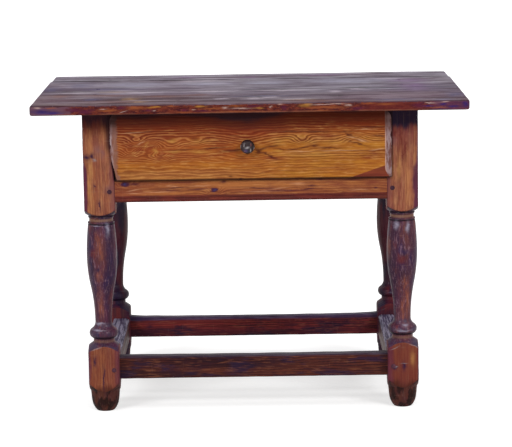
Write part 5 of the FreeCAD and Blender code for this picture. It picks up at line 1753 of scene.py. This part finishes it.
# %% [markdown]
# ## The floor
#
# The floor is a very large pale sheet. Its own colour catches the table's soft shadow, and a little
# extra light that only the camera, mirror-like surfaces and glass see lifts it to white, as on a sheet
# of paper with a lamp of its own. That light is weaker between the legs, so the shadow there keeps its
# depth, and there it is a little stronger along the front stretcher and weaker behind it.

# %% The floor
FLOOR_SIZE = 60.0
FLOOR_COLOUR = paint(0.62, 0.62, 0.62)
LIFT_BETWEEN_LEGS, LIFT_AROUND = 0.56, 0.74
FRONT_LIFT, BACK_DROP = 0.115, 0.06


def seen_directly(tree):
    """1 for rays from the camera, from mirror-like surfaces and through glass, and 0 for the rest."""
    node = tree.add("ShaderNodeLightPath").node
    total = tree.plus(node.outputs["Is Camera Ray"], node.outputs["Is Glossy Ray"])
    return tree.math("ADD", total, node.outputs["Is Transmission Ray"], clamp=True)


def make_floor():
    """One square sheet: matt colour plus glow x the rays that see it directly."""
    corners = [(-1, -1), (1, -1), (1, 1), (-1, 1)]
    mesh = bpy.data.meshes.new("floor")
    mesh.from_pydata([(x * FLOOR_SIZE, y * FLOOR_SIZE, 0) for x, y in corners], [], [(0, 1, 2, 3)])
    material, tree, place = begin("floor_paper")
    x, y, _ = tree.parts(place)
    matt = tree.add("ShaderNodeBsdfDiffuse", {"Color": FLOOR_COLOUR})
    between = tree.times(tree.step(tree.math("ABSOLUTE", x), 0.42, 0.3), tree.step(y, 0.34, 0.1))
    lift = tree.scale(between, LIFT_AROUND, LIFT_BETWEEN_LEGS)
    change = tree.minus(tree.times(near(tree, y, -0.09, 0.042), FRONT_LIFT),
                        tree.times(tree.step(y, -0.03, 0.05), BACK_DROP))
    lift = tree.plus(lift, tree.times(change, between))
    glow = tree.add("ShaderNodeEmission", {"Color": paint(1, 1, 1),
                                           "Strength": tree.times(seen_directly(tree), lift)})
    tree.add("ShaderNodeOutputMaterial", {"Surface": tree.add("ShaderNodeAddShader", {0: matt, 1: glow})})
    mesh.materials.append(material)
    floor = bpy.data.objects.new("floor", mesh)
    bpy.context.scene.collection.objects.link(floor)
    floor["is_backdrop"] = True
    print("floor of", 2 * FLOOR_SIZE, "m")
    return floor


make_floor()

# %% [markdown]
# ## The white room
#
# The world adds a dim white fill to the lamps. The camera and mirror-like reflections see it as plain
# white paper instead, which the same Light Path mask does, so the background costs no extra light on
# the wood.

# %% The world
FILL_STRENGTH = 0.25


def make_world():
    """A dim white fill, and full white for the rays that see it directly."""
    world = bpy.data.worlds.new("white_room")
    world.use_nodes = True
    world.node_tree.nodes.clear()
    tree = Tree(world.node_tree)
    strength = tree.scale(seen_directly(tree), FILL_STRENGTH, 1.0)
    background = tree.add("ShaderNodeBackground", {"Color": paint(1, 1, 1), "Strength": strength})
    tree.add("ShaderNodeOutputWorld", {"Surface": background})
    bpy.context.scene.world = world
    print("fill of", FILL_STRENGTH, "on the wood, white to the camera")


make_world()

# %% [markdown]
# ## Does it still fit the construction?
#
# The box that the dressed table fills is printed, to set beside the construction's box printed at the start.
# The dressed table may not be larger than the frame.

# %% Measure and finish
dressed_low, dressed_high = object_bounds()
print("dressed table fills", [round(v, 4) for v in dressed_high - dressed_low], "m")
